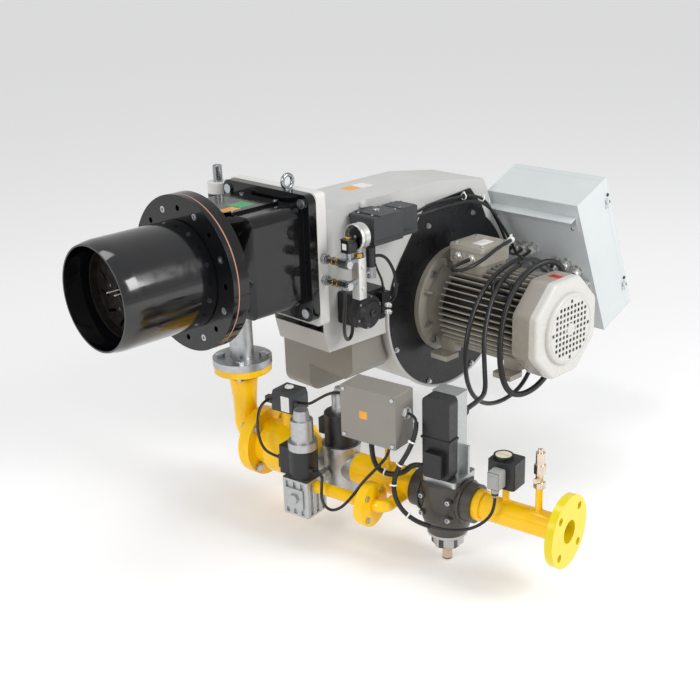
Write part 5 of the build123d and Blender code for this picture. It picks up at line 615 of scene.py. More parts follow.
class BURNER_OT_cables(bpy.types.Operator):
    """Lays the two long cables, the leads, the conduits and the hoses."""

    bl_idname = "burner.cables"
    bl_label = "Cables and hoses"

    def execute(self, context):
        fittings = context.scene.burner_fittings
        sheath = finish("cable_black")
        thick = fittings.cable / MM / 2
        to_valve = cable("valve_actuator_cable", [ACTUATOR_ROUTE], thick, sheath, "fan_body")
        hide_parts("actuator_cable")
        supply = cable("motor_feed_cable", [SUPPLY_ROUTE], thick, sheath, "fan_body")
        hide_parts("motor_supply_cable")
        line_leads = [[on_line(*spot) for spot in route] for route in LINE_LEADS]
        leads = cable("gas_line_leads", line_leads, fittings.lead / MM / 2, sheath, "head")
        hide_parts("gas_train_cables")
        conduit = even(centreline([on_line(*spot) for spot in LINE_CONDUIT]), fittings.rib_pitch / 4)
        built("gas_line_conduit", lambda form: ribbed(form, conduit, 5.4, 1.1, fittings.rib_pitch),
              sheath, "head", 60)
        cable("motor_terminal_lead", [TERMINAL_LEAD], 5, sheath, "fan_body")
        servo = cable("air_servo_leads", list(SERVO_LEADS), 4, sheath, "fan_body")
        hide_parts("fan_leads")
        panel = even(centreline(PANEL_CONDUIT), fittings.rib_pitch / 4)
        built("panel_conduit", lambda form: ribbed(form, panel, 6.9, 1.1, fittings.rib_pitch),
              sheath, "fan_body", 60)
        cable("gauge_lower_hose", [LOWER_HOSE], 4.5, sheath, "fan_body")
        cable("gauge_side_hose", [SIDE_HOSE], 4, sheath, "fan_body")
        cable("air_switch_lead", [AIR_SWITCH_LEAD], 3, sheath, "fan_body")
        return {"FINISHED"}


class BURNER_OT_finishes(bpy.types.Operator):
    """Makes every paint, metal, plastic and rubber, and puts them on the parts."""

    bl_idname = "burner.finishes"
    bl_label = "Finishes"

    def execute(self, context):
        paints = context.scene.burner_paints
        made = {
            # Silicone enamel on rolled steel: deep gloss, with the tube's slow ripples in its reflections
            "tube_black": sprayed(
                "Heat-resistant silicone enamel, sprayed", linear("101114"), peel=14, depth=0.05, low=0.1, high=0.2,
                coat=0.5),
            # Gloss enamel on sand-cast aluminium: wet reflections broken by the casting's lumps
            "head_black": cast_enamel("Black enamel on sand-cast aluminium", list(paints.head)),
            # Pressed fibre with a copper-red binder: dull and dusty
            "gasket": powder("Fibre gasket, pressed", linear("c08a72"), pebble=1.2, low=0.7, high=0.85),
            # Blue-white zinc: bright, slightly cloudy
            "zinc_steel": bare_metal("Zinc-plated steel, barrel plated", linear("c2c5c8"), low=0.2, high=0.34),
            # Turned steel: bright with a soft grain
            "bare_steel": bare_metal("Steel, turned", linear("a5a8ab"), size=0.8, low=0.2, high=0.32),
            # Pressure die casting: pale, satin, with a cloudy skin
            "silver_cast": bare_metal(
                "Aluminium, pressure die-cast", linear("bfc1c2"), size=1.6, depth=0.05, low=0.34, high=0.5, cloud=12),
            # Two-pack enamel sprayed on welded steel pipe: rich gloss yellow
            "yellow_paint": two_coats(
                "Yellow enamel on welded pipe", list(paints.gas_line), list(paints.inlet_flange), LINE_AXIS, 0.915),
            "yellow_light": sprayed("Light yellow enamel", list(paints.inlet_flange)),
            # Glass-filled nylon: matt black with a hint of grain
            "black_plastic": moulded("Glass-filled nylon, moulded black", linear("161719")),
            "grey_plastic": moulded("ABS, moulded dark grey", linear("333639")),
            "cream_plastic": moulded("Polycarbonate, moulded cream", linear("d8d0b8"), low=0.25, high=0.35),
            # Dull enamel on iron: the sand grain of the mould is coarse under it
            "iron_grey": cast_enamel(
                "Grey enamel on sand-cast iron", linear("48443f"), sand=2.2, depth=0.14, low=0.3, high=0.46, coat=0.2),
            "box_taupe": powder("Grey-brown powder coat", linear("8d8981")),
            "off_white": powder("Off-white powder coat on cast plate", linear("dfdedb"), low=0.28, high=0.4),
            "casing_grey": powder("Light grey powder coat on rolled sheet", list(paints.fan_casing)),
            "plate_black": powder("Black powder coat on plate", linear("121316"), low=0.25, high=0.38),
            # Motor enamel on die-cast aluminium: satin, with the cast skin just visible
            # The fins' enamel darkens to painted shade towards their roots
            "motor_fins": fins_with_painted_shade("Grey-brown enamel on cast fins", list(paints.motor)),
            "motor_taupe": cast_enamel(
                "Grey-brown enamel on cast aluminium", list(paints.motor), sand=2.5, depth=0.05, low=0.3, high=0.42,
                coat=0.15),
            # Pressed steel in two coats: the motor's grey-brown on the sleeve, off-white on the front
            "cover_silver": two_coats(
                "Off-white enamel on pressed steel", linear("a29c93"), linear("d3d2cd"), (0, -1, 0), COVER_FRONT,
                low=0.24, high=0.34),
            "cabinet_grey": powder("Light grey powder coat on cabinet sheet", list(paints.cabinet), low=0.3, high=0.4),
            # Turned brass: warm and bright
            "brass": bare_metal("Brass, turned", linear("c39a4e"), size=0.8, low=0.18, high=0.32),
            # Nickel over brass: bright, with the brass's warmth showing through
            "nickel": bare_metal("Brass, nickel-plated", linear("dccdba"), size=0.8, depth=0.01, low=0.2, high=0.3),
            "cable_black": rubber("PVC cable sheath, extruded", linear("131416")),
            "ceramic": sprayed("Glazed ceramic", linear("e9e4da"), peel=6, low=0.06, high=0.12),
            "impeller_zinc": spangled("Galvanised sheet, spangled", linear("a9adb0")),
            # Steel darkened as painted shade for the inside of the blast tube: dark brown-grey, hardly shiny
            "scaled_steel": bare_metal(
                "Steel, heat-scaled", linear("4a4643"), size=2.4, depth=0.06, low=0.4, high=0.6, cloud=14, spread=0.25),
            # Extruded bar: pale and even, with fine lines
            "bar_aluminium": bare_metal(
                "Aluminium bar, extruded", linear("e4e4e1"), size=0.8, depth=0.006, low=0.34, high=0.44),
            # Phenolic moulding: warm pinkish brown, waxy
            "bakelite": moulded("Phenolic, moulded pink-brown", linear("d6b79f"), low=0.4, high=0.5),
            "plug_grey": moulded("Polyamide, moulded light grey", linear("a3a4a2")),
            "nylon_white": moulded("Nylon, moulded white", linear("f1f1ee"), low=0.25, high=0.35),
            # Matt ink on sheet brass: even and very flat
            "dial_black": moulded("Dial enamel, matt black", linear("1a1b1d"), low=0.5, high=0.6),
            "film_white": film("Vinyl film, white", linear("ecebe8")),
            "film_green": film("Vinyl film, green", linear("2f9e5b")),
            "film_yellow": film("Vinyl film, orange-yellow", linear("f2a533")),
            "film_red": film("Vinyl film, red", linear("cf2233")),
            "glass": window("Float glass, clear"),
        }
        for slot, material in made.items():
            material["slot"] = slot
        for name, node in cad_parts.items():
            for holder in node.material_slots:
                holder.material = made[NODE_FINISH[name]]
        return {"FINISHED"}


NODE_FINISH = {
    "blast_tube": "tube_black", "boiler_flange": "head_black", "flange_gasket": "gasket",
    "head_casting": "head_black", "head_cover": "head_black", "fasteners": "zinc_steel",
    "lifting_eyebolt": "bare_steel", "hinge_pin": "bare_steel", "gas_manifold": "silver_cast",
    # The diffuser's dark steel is painted shade for the inside of the blast tube
    "diffuser_disc": "scaled_steel", "electrodes": "ceramic", "gas_elbow": "yellow_paint",
    "butterfly_body": "yellow_paint", "butterfly_servo": "grey_plastic",
    "safety_valve_body": "silver_cast", "safety_valve_coil": "black_plastic",
    "solenoid_caps": "silver_cast", "main_pipe": "yellow_paint", "pilot_pipe": "yellow_paint",
    "pilot_valve_body": "silver_cast", "pilot_valve_coil": "black_plastic",
    "main_valve_body": "iron_grey", "actuator_frame": "silver_cast",
    "actuator_cover": "black_plastic", "inlet_spool": "yellow_paint",
    "gas_pressure_switch": "black_plastic", "test_cock": "nickel", "junction_box": "box_taupe",
    "junction_box_lid": "box_taupe", "gas_train_cables": "cable_black",
    "butterfly_disc": "bare_steel", "valve_stem": "bare_steel", "switch_dial": "cream_plastic",
    "test_cock_button": "nickel", "mounting_plate": "off_white", "scroll_casing": "casing_grey",
    "side_plate": "plate_black", "fan_bolts": "zinc_steel", "damper_frame": "impeller_zinc",
    "air_servo": "grey_plastic", "air_intake_box": "box_taupe", "inlet_cone": "impeller_zinc",
    "motor_body": "motor_fins", "fan_cover": "cover_silver", "terminal_box": "motor_taupe",
    "pressure_gauge": "bar_aluminium", "gauge_manifold": "bare_steel", "manifold_valves": "black_plastic",
    "air_pressure_switch": "black_plastic", "panel_bracket": "cabinet_grey",
    "cabinet_body": "cabinet_grey", "actuator_cable": "cable_black", "actuator_plug": "black_plastic",
    "motor_supply_cable": "cable_black", "fan_leads": "cable_black",
    "impeller": "impeller_zinc", "motor_shaft": "bare_steel", "damper_flap": "impeller_zinc",
    "gauge_needle": "nylon_white", "cabinet_door": "cabinet_grey",
}


class BURNER_OT_head_fittings(bpy.types.Operator):
    """Puts the two blank film patches on the head cover."""

    bl_idname = "burner.head_fittings"
    bl_label = "Head fittings"

    def execute(self, context):
        for name, slot, corner, size in (
            ("cover_patch_yellow", "film_yellow", (102, -66), (30, 52)),
            ("cover_patch_green", "film_green", (140, -50), (50, 50)),
        ):
            centre = standing((corner[0] + size[0] / 2, corner[1] + size[1] / 2, 137), (0, 0, 1), (0, 1, 0))
            built(name, lambda form: slab(form, rounded(size[1], size[0], 3), centre, -0.1, 0.4, 0.1), finish(slot), "head")
        return {"FINISHED"}


class BURNER_OT_fan_fittings(bpy.types.Operator):
    """Puts films, a lug, a rolled rim, the grille and the servo's and switch's trim on the fan unit."""

    bl_idname = "burner.fan_fittings"
    bl_label = "Fan fittings"

    def execute(self, context):
        for name, slot, low, high in (
            ("casing_patch_orange", "film_yellow", 526, 565), ("casing_patch_white", "film_white", 566, 610),
        ):
            centre = standing(((low + high) / 2, -14, 106), (0, 0, 1), (0, 1, 0))
            built(name, lambda form: slab(form, rounded(40, high - low, 2), centre, -0.1, 0.4, 0.1), finish(slot), "fan_body")

        def lug(form):
            face = standing((463, -137, 98), (0, -1, 0))
            slab(form, rounded(22, 15, 3), face, -0.1, 8, 1.2)
            slab(form, rounded(10, 22, 3), face, -0.1, 3, 0.8)
        built("casing_lug", lug, finish("casing_grey"), "fan_body")

        def rolled(form):
            start = standing((797, -137, -231), (0, -1, 0)) @ Matrix.Rotation(radians(165), 4, "Z")
            lathe(form, [(250, -4), (250, 6), (252, 8), (256, 8), (258, 6), (258, -4), (250, -4)], start,
                  90, radians(205))
        built("side_plate_rim", rolled, finish("casing_grey"), "fan_body")

        def ring(form):
            face = standing((392, -198, -149), (0, -1, 0))
            lathe(form, [(43.2, -2), (44.6, -2), (44.6, 4), (43.2, 5.5), (40, 5.5)], face, 48)
            hoop(form, standing((392, -224.2, -149), (0, -1, 0)), 34, 1.6, 48)
            lathe(form, [(0, 39.2), (9, 39.2), (9, 40.5), (7.5, 41.6), (0, 41.6)], face, 28)
        built("air_switch_rim", ring, finish("black_plastic"), "fan_body")

        def clamp_screws(form):
            for quarter in range(6):
                turn = radians(60 * quarter + 20)
                spot = (392 + 39.5 * cos(turn), -224, -149 + 39.5 * sin(turn))
                screw(form, standing(spot, (0, -1, 0)), 3.1, 2.4)
        built("air_switch_screws", clamp_screws, finish("zinc_steel"), "fan_body")

        def spades(form):
            for height in (-147, -165):
                slab(form, rounded(15, 9, 2), standing((458, -220, height), (0, -1, 0)), -0.2, 9, 1.2)
                lathe(form, [(4.5, 0), (4.5, 7), (3.2, 8)], standing((458, -228, height), (0, -1, 0)), 16)
        built("air_switch_connectors", spades, finish("nylon_white"), "fan_body")

        def servo_trim(form):
            slab(form, rounded(60, 92, 5), standing((458, -190, 87), (0, 0, 1), (0, 1, 0)), -0.1, 3.2, 1.0)
            slab(form, rounded(56, 60, 5), standing((546, -190, 87), (0, 0, 1), (0, 1, 0)), -0.1, 1.6, 0.8)
            slab(form, rounded(150, 3, 1), standing((493, -230, 26), (0, -1, 0)), -0.1, 1.2, 0.4)
        built("air_servo_covers", servo_trim, finish("grey_plastic"), "fan_body")

        def servo_screws(form):
            for x, y in ((420, -214), (420, -166), (500, -214), (500, -166), (522, -210), (570, -170)):
                screw(form, standing((x, y, 89), (0, 0, 1)), 3, 2.4)
            lathe(form, [(0, 0), (9, 0), (9, 3), (7.5, 4.4), (0, 4.4)], standing((460, -190, 90.2), (0, 0, 1)), 30)
        built("air_servo_screws", servo_screws, finish("zinc_steel"), "fan_body")

        def slats(form):
            for index in range(19):
                low = Vector((545 + index * 19.4, 100, -455.6))
                slab(form, rounded(62, 4.5, 1), standing(low, (0, 0, 1), (1, 0, 0)), -1.2, 1.0)
            for y in (69, 131):
                slab(form, rounded(384, 5, 1), standing((720, y, -456.2), (0, 0, 1), (0, 1, 0)), -1.4, 1.0)
        built("suction_grille", slats, finish("bare_steel"), "fan_body")
        return {"FINISHED"}


class BURNER_OT_gauge(bpy.types.Operator):
    """Makes the pressure gauge's dial, rim and glass, and the fittings under it."""

    bl_idname = "burner.gauge"
    bl_label = "Pressure gauge"

    def execute(self, context):
        marks = context.scene.burner_fittings.gauge_marks
        face = standing((344, -232, 56), (-1, 0, 0))

        def dial(form):
            lathe(form, [(0, 0), (28.2, 0), (28.2, 0.5), (0, 0.5)], face, 48, paint=0)
            for index in range(4 * (marks - 1) + 1):
                turn = radians(225 - 270 * index / (4 * (marks - 1)))
                long = index % 4 == 0
                spot = face @ Matrix.Rotation(turn, 4, "Z") @ Matrix.Translation((0.0235 if long else 0.0245, 0, 0))
                slab(form, rounded(5 if long else 3, 0.9 if long else 0.5, 0.2, 1), spot, 0.45, 0.62, paint=1)
        built("gauge_dial", dial, [finish("dial_black"), finish("nylon_white")], "fan_body", 30)

        def rim(form):
            lathe(form, [(28.6, 1), (28.6, 6.6), (29.4, 8.2), (31, 8.2), (32.1, 6.8), (32.1, -3), (31.4, -4)], face, 64)
            hoop(form, face @ Matrix.Translation((0, 0, -0.018)), 31.2, 0.9, 48)
        built("gauge_rim", rim, finish("bar_aluminium"), "fan_body")
        built("gauge_glass", lambda form: lathe(
            form, [(0, 5.1), (28.4, 5.1), (28.4, 6.1), (20, 6.6), (10, 6.9), (0, 7)], face, 48), finish("glass"), "fan_body")

        def bar(form):
            slab(form, rounded(25.8, 25.8, 1.5), standing((352, -232, -100.3), (0, 0, 1)), 0, 103.6, 0.8)
            for height in (-2, -56):
                lathe(form, [(0, 0), (5.5, 0), (5.5, 2.6), (4.4, 3.6), (0, 3.6)],
                      standing((352, -244.9, height - 18), (0, -1, 0)), 20)
        built("gauge_bar", bar, finish("bar_aluminium"), "fan_body")

        def solenoid(form):
            slab(form, rounded(30, 18, 2.5), standing((319, -246.2, 39), (0, -1, 0)), -0.2, 1.2, 0.5)
            slab(form, rounded(30, 30, 3), standing((319, -232, 53.8), (0, 0, 1)), 0, 2.6, 1)
            slab(form, rounded(30, 30, 3), standing((319, -232, 23.6), (0, 0, 1)), 0, 2.4, 0.8)
        built("pilot_solenoid_trim", solenoid, finish("black_plastic"), "fan_body")
        built("pilot_solenoid_plate", lambda form: slab(
            form, rounded(14, 15, 1.5), standing((304.6, -232, 39), (-1, 0, 0)), -0.2, 0.6, 0.2),
            finish("film_white"), "fan_body")

        def brass(form):
            slab(form, polygon(6, 8.4), standing((319, -232, 56.4), (0, 0, 1)), 0, 5.5, 0.8)
            slab(form, polygon(6, 12.2, radians(30)), standing((352, -232, 6), (0, 0, 1)), 0, 8, 1)
            for height in (-2, -56):
                lathe(form, [(8.6, 0), (9.6, 1), (9.6, 6), (8.6, 7)], standing((303, -190, height), (0, -1, 0)), 24)
                lathe(form, [(8.6, 0), (9.6, 1), (9.6, 6), (8.6, 7)], standing((303, -206, height), (0, -1, 0)), 24)
        built("gauge_fittings", brass, finish("brass"), "fan_body")

        def lids(form):
            for height in (-2, -56):
                slab(form, polygon(6, 13.2), standing((303, -164, height), (0, -1, 0)), 0, 7.5, 0.8)
                slab(form, polygon(6, 11), standing((303, -246.2, height), (0, -1, 0)), 0, 6, 0.8)
        built("gauge_plugs", lids, finish("zinc_steel"), "fan_body")
        return {"FINISHED"}


class BURNER_OT_motor_fittings(bpy.types.Operator):
    """Puts the screws, blank films, boss and gland nuts on the motor."""

    bl_idname = "burner.motor_fittings"
    bl_label = "Motor fittings"

    def execute(self, context):
        def cover_screws(form):
            for eighth in range(8):
                turn = radians(45 * eighth + 22.5)
                spot = (797 + 123 * cos(turn), -522, -231 + 123 * sin(turn))
                out = (cos(turn) * 0.55, -0.83, sin(turn) * 0.55)
                screw(form, standing(spot, out), 3.6, 3)
        built("fan_cover_screws", cover_screws, finish("zinc_steel"), "fan_body")

        def boss(form):
            face = standing((797, -544, -231), (0, -1, 0))
            lathe(form, [(16, -2), (16, 0.4), (12, 1.6), (6, 2.2), (5, 1.2), (0, 1.2)], face, 32)
            hoop(form, face, 86, 1.4, 72)
        built("fan_cover_boss", boss, finish("cover_silver"), "fan_body")
        built("fan_cover_patch", lambda form: slab(
            form, rounded(22, 34, 2), standing((800, -489, -101.9), (0, 0, 1)), -0.2, 0.5, 0.1), finish("film_red"), "fan_body")

        def lid_screws(form):
            for x in (-44, 44):
                for y in (-44, 44):
                    screw(form, standing((789 + x, -250 + y, -50), (0, 0, 1)), 4, 3.4)
        built("terminal_lid_screws", lid_screws, finish("zinc_steel"), "fan_body")
        built("terminal_lid_patch", lambda form: slab(
            form, rounded(52, 34, 2), standing((789, -262, -50), (0, 0, 1)), -0.1, 0.5, 0.1), finish("film_white"), "fan_body")

        def nuts(form):
            for y in (-227, -273):
                slab(form, polygon(6, 14.5), standing((731, y, -80), (-1, 0, 0)), 0, 6.5, 1)
                lathe(form, [(11.6, 6), (11.6, 12), (9.5, 14.6), (5.6, 15)], standing((731, y, -80), (-1, 0, 0)), 28)
        built("terminal_glands", nuts, finish("bar_aluminium"), "fan_body")
        return {"FINISHED"}


class BURNER_OT_cabinet_fittings(bpy.types.Operator):
    """Puts the gland nuts, hinge screws, locks, rail screws and gusset on the cabinet."""

    bl_idname = "burner.cabinet_fittings"
    bl_label = "Cabinet fittings"

    def execute(self, context):
        def nuts(form):
            for index in range(len(GLANDS)):
                seat = standing(at_gland(index, 0), -CABINET_BACK, CABINET_UP)
                slab(form, polygon(6, 16), seat, 0, 11.6, 1.2)
                lathe(form, [(12.2, 11), (12.2, 18), (11, 20.5), (8.8, 22.6), (6.6, 23)], seat, 28)
                lathe(form, [(17, 0), (17, 1.6), (15, 2.2)], seat, 28)
        built("cabinet_glands", nuts, finish("bar_aluminium"), "fan_body")

        def hinge_screws(form):
            for down in (-50, -72, -333, -357):
                seat = standing(on_cabinet(132, down, 302), (0, -1, 0))
                lathe(form, [(0, 0), (4.6, 0), (4.6, 2.2), (3.2, 3.4), (0, 3.4)], seat, 20)
        built("door_hinge_screws", hinge_screws, finish("black_plastic"), "cabinet_door")

        def locks(form):
            for down in (-110, -316):
                seat = standing(on_cabinet(142, down, 26), CABINET_BACK, CABINET_UP)
                lathe(form, [(0, 0), (13, 0), (13, 2.4), (11, 4), (7.5, 4), (7.5, 2.4), (0, 2.4)], seat, 36)
                slab(form, rounded(3, 11, 1), seat, 2.2, 5.2, 0.5)
        built("door_locks", locks, finish("zinc_steel"), "cabinet_door")

        def rail_screws(form):
            for along in (16, 274):
                for down in (-76, -292):
                    screw(form, standing(on_cabinet(-3, down, along), -CABINET_BACK, CABINET_UP), 5, 4)
        built("rail_screws", rail_screws, finish("zinc_steel"), "fan_body")

        def angle(form):
            seat = standing(on_cabinet(-30, -104, -4), -CABINET_BACK, CABINET_UP)
            slab(form, [(-17, 22), (-12, -6), (-7, -22), (6, -22), (14, -4), (17, 22)], seat, -0.4, 2.4, 0.6)
            slab(form, rounded(34, 4, 1), seat @ Matrix.Translation((0, 0.021, 0)), -2, 8, 0.8)
            for height in (-8, 8):
                screw(form, seat @ Matrix.Translation((0, height * MM, 0.0024)), 4.4, 3.4)
        built("rail_angle", angle, finish("cabinet_grey"), "fan_body")
        return {"FINISHED"}


class BURNER_OT_gas_line_fittings(bpy.types.Operator):
    """Puts the welds, gland nuts, plugs, caps, screws and blank films on the gas line."""

    bl_idname = "burner.gas_line_fittings"
    bl_label = "Gas line fittings"

    def execute(self, context):
        bead = context.scene.burner_fittings.weld / MM / 2

        def welds(form):
            for s, radius in ((62, 71), (190, 59), (891, 30.4), (886, 30.4)):
                hoop(form, standing(on_line(0, s, -470), LINE_AXIS), radius, bead * 0.55, 60, ripple=0.18)
            for s, radius in ((755, 8), (835, 8)):
                hoop(form, standing(on_line(0, s, -440.6), (0, 0, 1)), radius + 1, bead * 0.6, 28, ripple=0.2)
            hoop(form, standing((159, 0, -307.5), (0, 0, 1)), 38.4, bead * 0.55, 48, ripple=0.18)
        built("pipe_welds", welds, finish("yellow_paint"), "head")

        def box_nuts(form):
            for spot, axis, radius in (
                (on_line(-44, 521, -268), LINE_AXIS, 12), (on_line(-40, 370, -262), -LINE_AXIS, 9),
                (on_line(-52, 432, -348), (0, 0, -1), 11), (on_line(-52, 482, -348), (0, 0, -1), 11),
            ):
                seat = standing(spot, axis)
                slab(form, polygon(6, radius + 3.6), seat, 0, 5, 0.8)
                lathe(form, [(radius + 0.6, 4.6), (radius + 0.6, 8), (radius - 2, 10), (4, 10)], seat, 28)
        built("junction_box_glands", box_nuts, finish("bar_aluminium"), "head")
        built("junction_box_patch", lambda form: slab(
            form, rounded(22, 19, 2), standing(on_line(-83, 433, -281), -LINE_SIDE), -0.1, 0.4, 0.1),
            finish("film_yellow"), "head")

        def lid_screws(form):
            for s in (379, 512):
                for z in (-339, -227):
                    lathe(form, [(5.3, -0.2), (5.3, 1.8), (4.2, 3), (0, 3)],
                          standing(on_line(-83, s, z), -LINE_SIDE), 22)
        built("junction_box_screws", lid_screws, finish("zinc_steel"), "head")

        def din_plug(form):
            seat = standing(on_line(-56.2, 753, -370), -LINE_SIDE)
            slab(form, rounded(30, 42, 4), seat, -29, 0, 2)
            slab(form, rounded(20, 24, 3), seat, -0.2, 2.2, 0.8)
            lathe(form, [(9, 0), (9, 14), (7.4, 18), (4.6, 24), (4.6, 27)],
                  standing(on_line(-46, 753, -384), (0, 0, -1)), 26)
        built("switch_plug", din_plug, finish("plug_grey"), "head")

        def valve_screws(form):
            for s in (570, 640):
                for z in (-500, -456):
                    screw(form, standing(on_line(-56, s, z), -LINE_SIDE), 6, 5)
        built("valve_screws", valve_screws, finish("zinc_steel"), "head")

        def cap(form):
            seat = standing(on_line(0, 605, -560), (0, 0, -1))
            lathe(form, [(47, -3), (47, 3), (45, 5), (41, 5)], seat, 48)
            slab(form, polygon(6, 38), seat, 5, 32.6, 2)
            lathe(form, [(30, 32), (30, 36), (27, 38), (12, 38)], seat, 40)
        built("valve_bottom_cap", cap, finish("silver_cast"), "head")
        built("valve_bottom_plug", lambda form: lathe(
            form, [(14, 37), (14, 43), (11.6, 45), (11.6, 69), (10, 73), (0, 73)],
            standing(on_line(0, 605, -560), (0, 0, -1)), 30), finish("bakelite"), "head")
        built("butterfly_servo_patch", lambda form: slab(
            form, rounded(26, 40, 2), standing(on_line(-32.5, 160, -338), -LINE_SIDE), -0.1, 0.4, 0.1),
            finish("film_white"), "head")

        def knob(form):
            seat = standing(on_line(0, 149, -306), (0, 0, 1))
            lathe(form, [(0, 0), (11.3, 0), (11.3, 2.6), (9, 3.6), (0, 3.6)], seat, 32)
            slab(form, rounded(3, 18, 1), seat, 3.4, 6, 0.5)
        built("butterfly_servo_knob", knob, finish("nylon_white"), "head")
        return {"FINISHED"}


class BURNER_OT_clips(bpy.types.Operator):
    """Binds the cables with ties, a saddle clip and a spare loop."""

    bl_idname = "burner.clips"
    bl_label = "Ties and clips"

    def execute(self, context):
        def tie(form, line, share, radius):
            index = min(int(share * (len(line) - 2)), len(line) - 2)
            seat = standing(line[index] / MM, line[index + 1] - line[index])
            lathe(form, [(radius, -1.8), (radius + 1.1, -1.8), (radius + 1.1, 1.8), (radius, 1.8)], seat, 20)
            slab(form, rounded(5, 4.5, 1), seat @ Matrix.Translation((0, (radius + 2) * MM, 0)), -2.5, 2.5, 0.5)

        def line_ties(form):
            lead = centreline([on_line(*spot) for spot in LINE_LEADS[0]])
            for share in (0.16, 0.27, 0.38, 0.55):
                tie(form, lead, share, 6.3)
            tie(form, centreline([on_line(*spot) for spot in LINE_CONDUIT]), 0.45, 6.7)
        built("gas_line_ties", line_ties, finish("nylon_white"), "head")
        sleeve = even(centreline([on_line(*spot) for spot in LINE_LEADS[0]]), 0.00125)
        built("gas_line_sleeve", lambda form: ribbed(form, sleeve[int(len(sleeve) * 0.06):int(len(sleeve) * 0.62)],
              5.0, 0.9, 0.005), finish("cable_black"), "head", 60)

        def cable_ties(form):
            for route, share, radius in (
                (ACTUATOR_ROUTE, 0.35, 6.2), (ACTUATOR_ROUTE, 0.6, 6.2), (SUPPLY_ROUTE, 0.2, 6.2),
            ):
                tie(form, centreline(route), share, radius)
        built("cable_ties", cable_ties, finish("black_plastic"), "fan_body")

        def saddle(form):
            lead = centreline(TERMINAL_LEAD)
            index = int(len(lead) * 0.6)
            seat = standing(lead[index] / MM, lead[index + 1] - lead[index])
            lathe(form, [(5.2, -8), (8.4, -8), (9, -7), (9, 7), (8.4, 8), (5.2, 8)], seat, 28)
            slab(form, rounded(4, 8, 1), seat @ Matrix.Translation((0, 0.011, 0)), -7, 7, 0.8)
            bundle = centreline(SERVO_LEADS[0])
            for share in (0.42, 0.56):
                tie(form, bundle, share, 8.5)
        built("white_clip", saddle, finish("nylon_white"), "fan_body")
        loop = []
        for index in range(15):
            turn = 2 * pi * index / 9
            reach = 25.5 + 1.2 * sin(index * 1.7)
            side = Vector((0.7248, -0.6889, 0.0)) * cos(turn) + Vector((0.23, 0.30, 0.93)).normalized() * sin(turn)
            loop.append(Vector((683, -411, -124)) + side * reach + Vector((-0.642, -0.674, 0.365)) * (0.55 * index - 3))
        cable("spare_loop", [loop], 5.6, finish("cable_black"), "fan_body")
        return {"FINISHED"}


# Stage


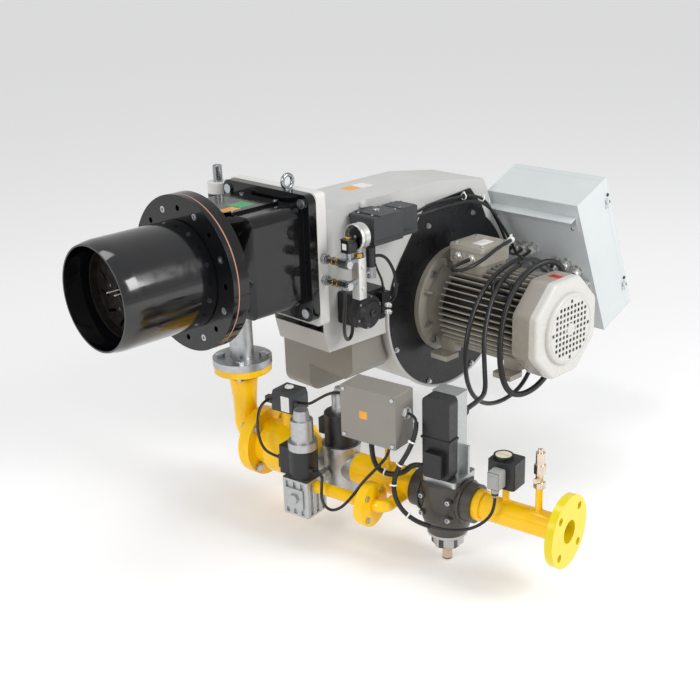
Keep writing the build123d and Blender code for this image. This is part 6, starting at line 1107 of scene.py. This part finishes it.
class BURNER_OT_stage(bpy.types.Operator):
    """Sets the pale floor, the soft lights and the camera."""

    bl_idname = "burner.stage"
    bl_label = "Stage"

    def execute(self, context):
        scene = context.scene
        floor = bpy.data.meshes.new("studio_floor")
        reach = 60
        low = CAD_BOX[0][2] - 0.002
        floor.from_pydata(
            [(-reach, -reach, low), (reach, -reach, low), (reach, reach, low), (-reach, reach, low)], [], [(0, 1, 2, 3)])
        ground = bpy.data.objects.new("studio_floor", floor)
        scene.collection.objects.link(ground)
        material, tree, place, shader = new_finish("Studio paper, matt white")
        shader.inputs["Base Color"].default_value = linear("f2f2f2")
        shader.inputs["Roughness"].default_value = 0.9
        shader.inputs["Emission Color"].default_value = linear("f4f5f6")
        shader.inputs["Emission Strength"].default_value = 0.2
        floor.materials.append(material)
        world = bpy.data.worlds.new("studio")
        scene.world = world
        world.use_nodes = True
        sky = world.node_tree.nodes["Background"]
        sky.inputs["Color"].default_value = (1, 1, 1, 1)
        sky.inputs["Strength"].default_value = 0.58
        scene.view_settings.view_transform = "Standard"
        for name, spot, size, power in (
            ("key_light", (1.4, -3.6, 1.9), 1.5, 78),
            ("left_light", (-3.0, -0.6, 1.7), 1.2, 40),
            ("top_light", (0.2, 0.4, 2.9), 1.0, 12),
        ):
            lamp = bpy.data.lights.new(name, "AREA")
            lamp.energy = power
            lamp.size = size
            holder = bpy.data.objects.new(name, lamp)
            holder.location = spot
            holder.rotation_euler = (Vector((0.5, -0.3, -0.2)) - Vector(spot)).to_track_quat("-Z", "Y").to_euler()
            scene.collection.objects.link(holder)
        az, el, roll = -0.76, 0.374, -0.036
        back = Vector((sin(az) * cos(el), -cos(az) * cos(el), sin(el)))
        right = Vector((cos(az), sin(az), 0))
        top = back.cross(right)
        right, top = right * cos(roll) + top * sin(roll), top * cos(roll) - right * sin(roll)
        lens = bpy.data.cameras.new("camera")
        lens.lens = 1129.79 / 700 * 36
        lens.shift_x = (350 - 338.96) / 700
        lens.shift_y = (359.14 - 350) / 700
        lens.clip_end = 60
        view = bpy.data.objects.new("camera", lens)
        view.matrix_world = (
            Matrix.Translation((-1.4943, -2.0927, 0.7702)) @ Matrix((right, top, back)).transposed().to_4x4())
        scene.collection.objects.link(view)
        scene.camera = view
        return {"FINISHED"}


class BURNER_PT_panel(bpy.types.Panel):
    """Lists the burner's sizes, paints and makers."""

    bl_idname = "BURNER_PT_panel"
    bl_label = "Gas burner"
    bl_space_type = "VIEW_3D"
    bl_region_type = "UI"
    bl_category = "Burner"

    def draw(self, context):
        layout = self.layout
        for group in (context.scene.burner_paints, context.scene.burner_fittings):
            for name in group.bl_rna.properties.keys():
                if name not in ("rna_type", "name"):
                    layout.prop(group, name)
        for maker in MAKERS:
            layout.operator(maker.bl_idname)


MAKERS = (
    BURNER_OT_stage, BURNER_OT_finishes, BURNER_OT_cables, BURNER_OT_head_fittings, BURNER_OT_fan_fittings,
    BURNER_OT_gauge, BURNER_OT_motor_fittings, BURNER_OT_cabinet_fittings, BURNER_OT_gas_line_fittings,
    BURNER_OT_clips,
)
CLASSES = (BurnerPaints, BurnerFittings, *MAKERS, BURNER_PT_panel)


def register():
    for one in CLASSES:
        bpy.utils.register_class(one)
    bpy.types.Scene.burner_paints = PointerProperty(type=BurnerPaints)
    bpy.types.Scene.burner_fittings = PointerProperty(type=BurnerFittings)


def unregister():
    del bpy.types.Scene.burner_fittings
    del bpy.types.Scene.burner_paints
    for one in reversed(CLASSES):
        bpy.utils.unregister_class(one)


def main():
    register()
    for maker in MAKERS:
        family, name = maker.bl_idname.split(".")
        getattr(getattr(bpy.ops, family), name)()


if __name__ == "__main__":
    main()
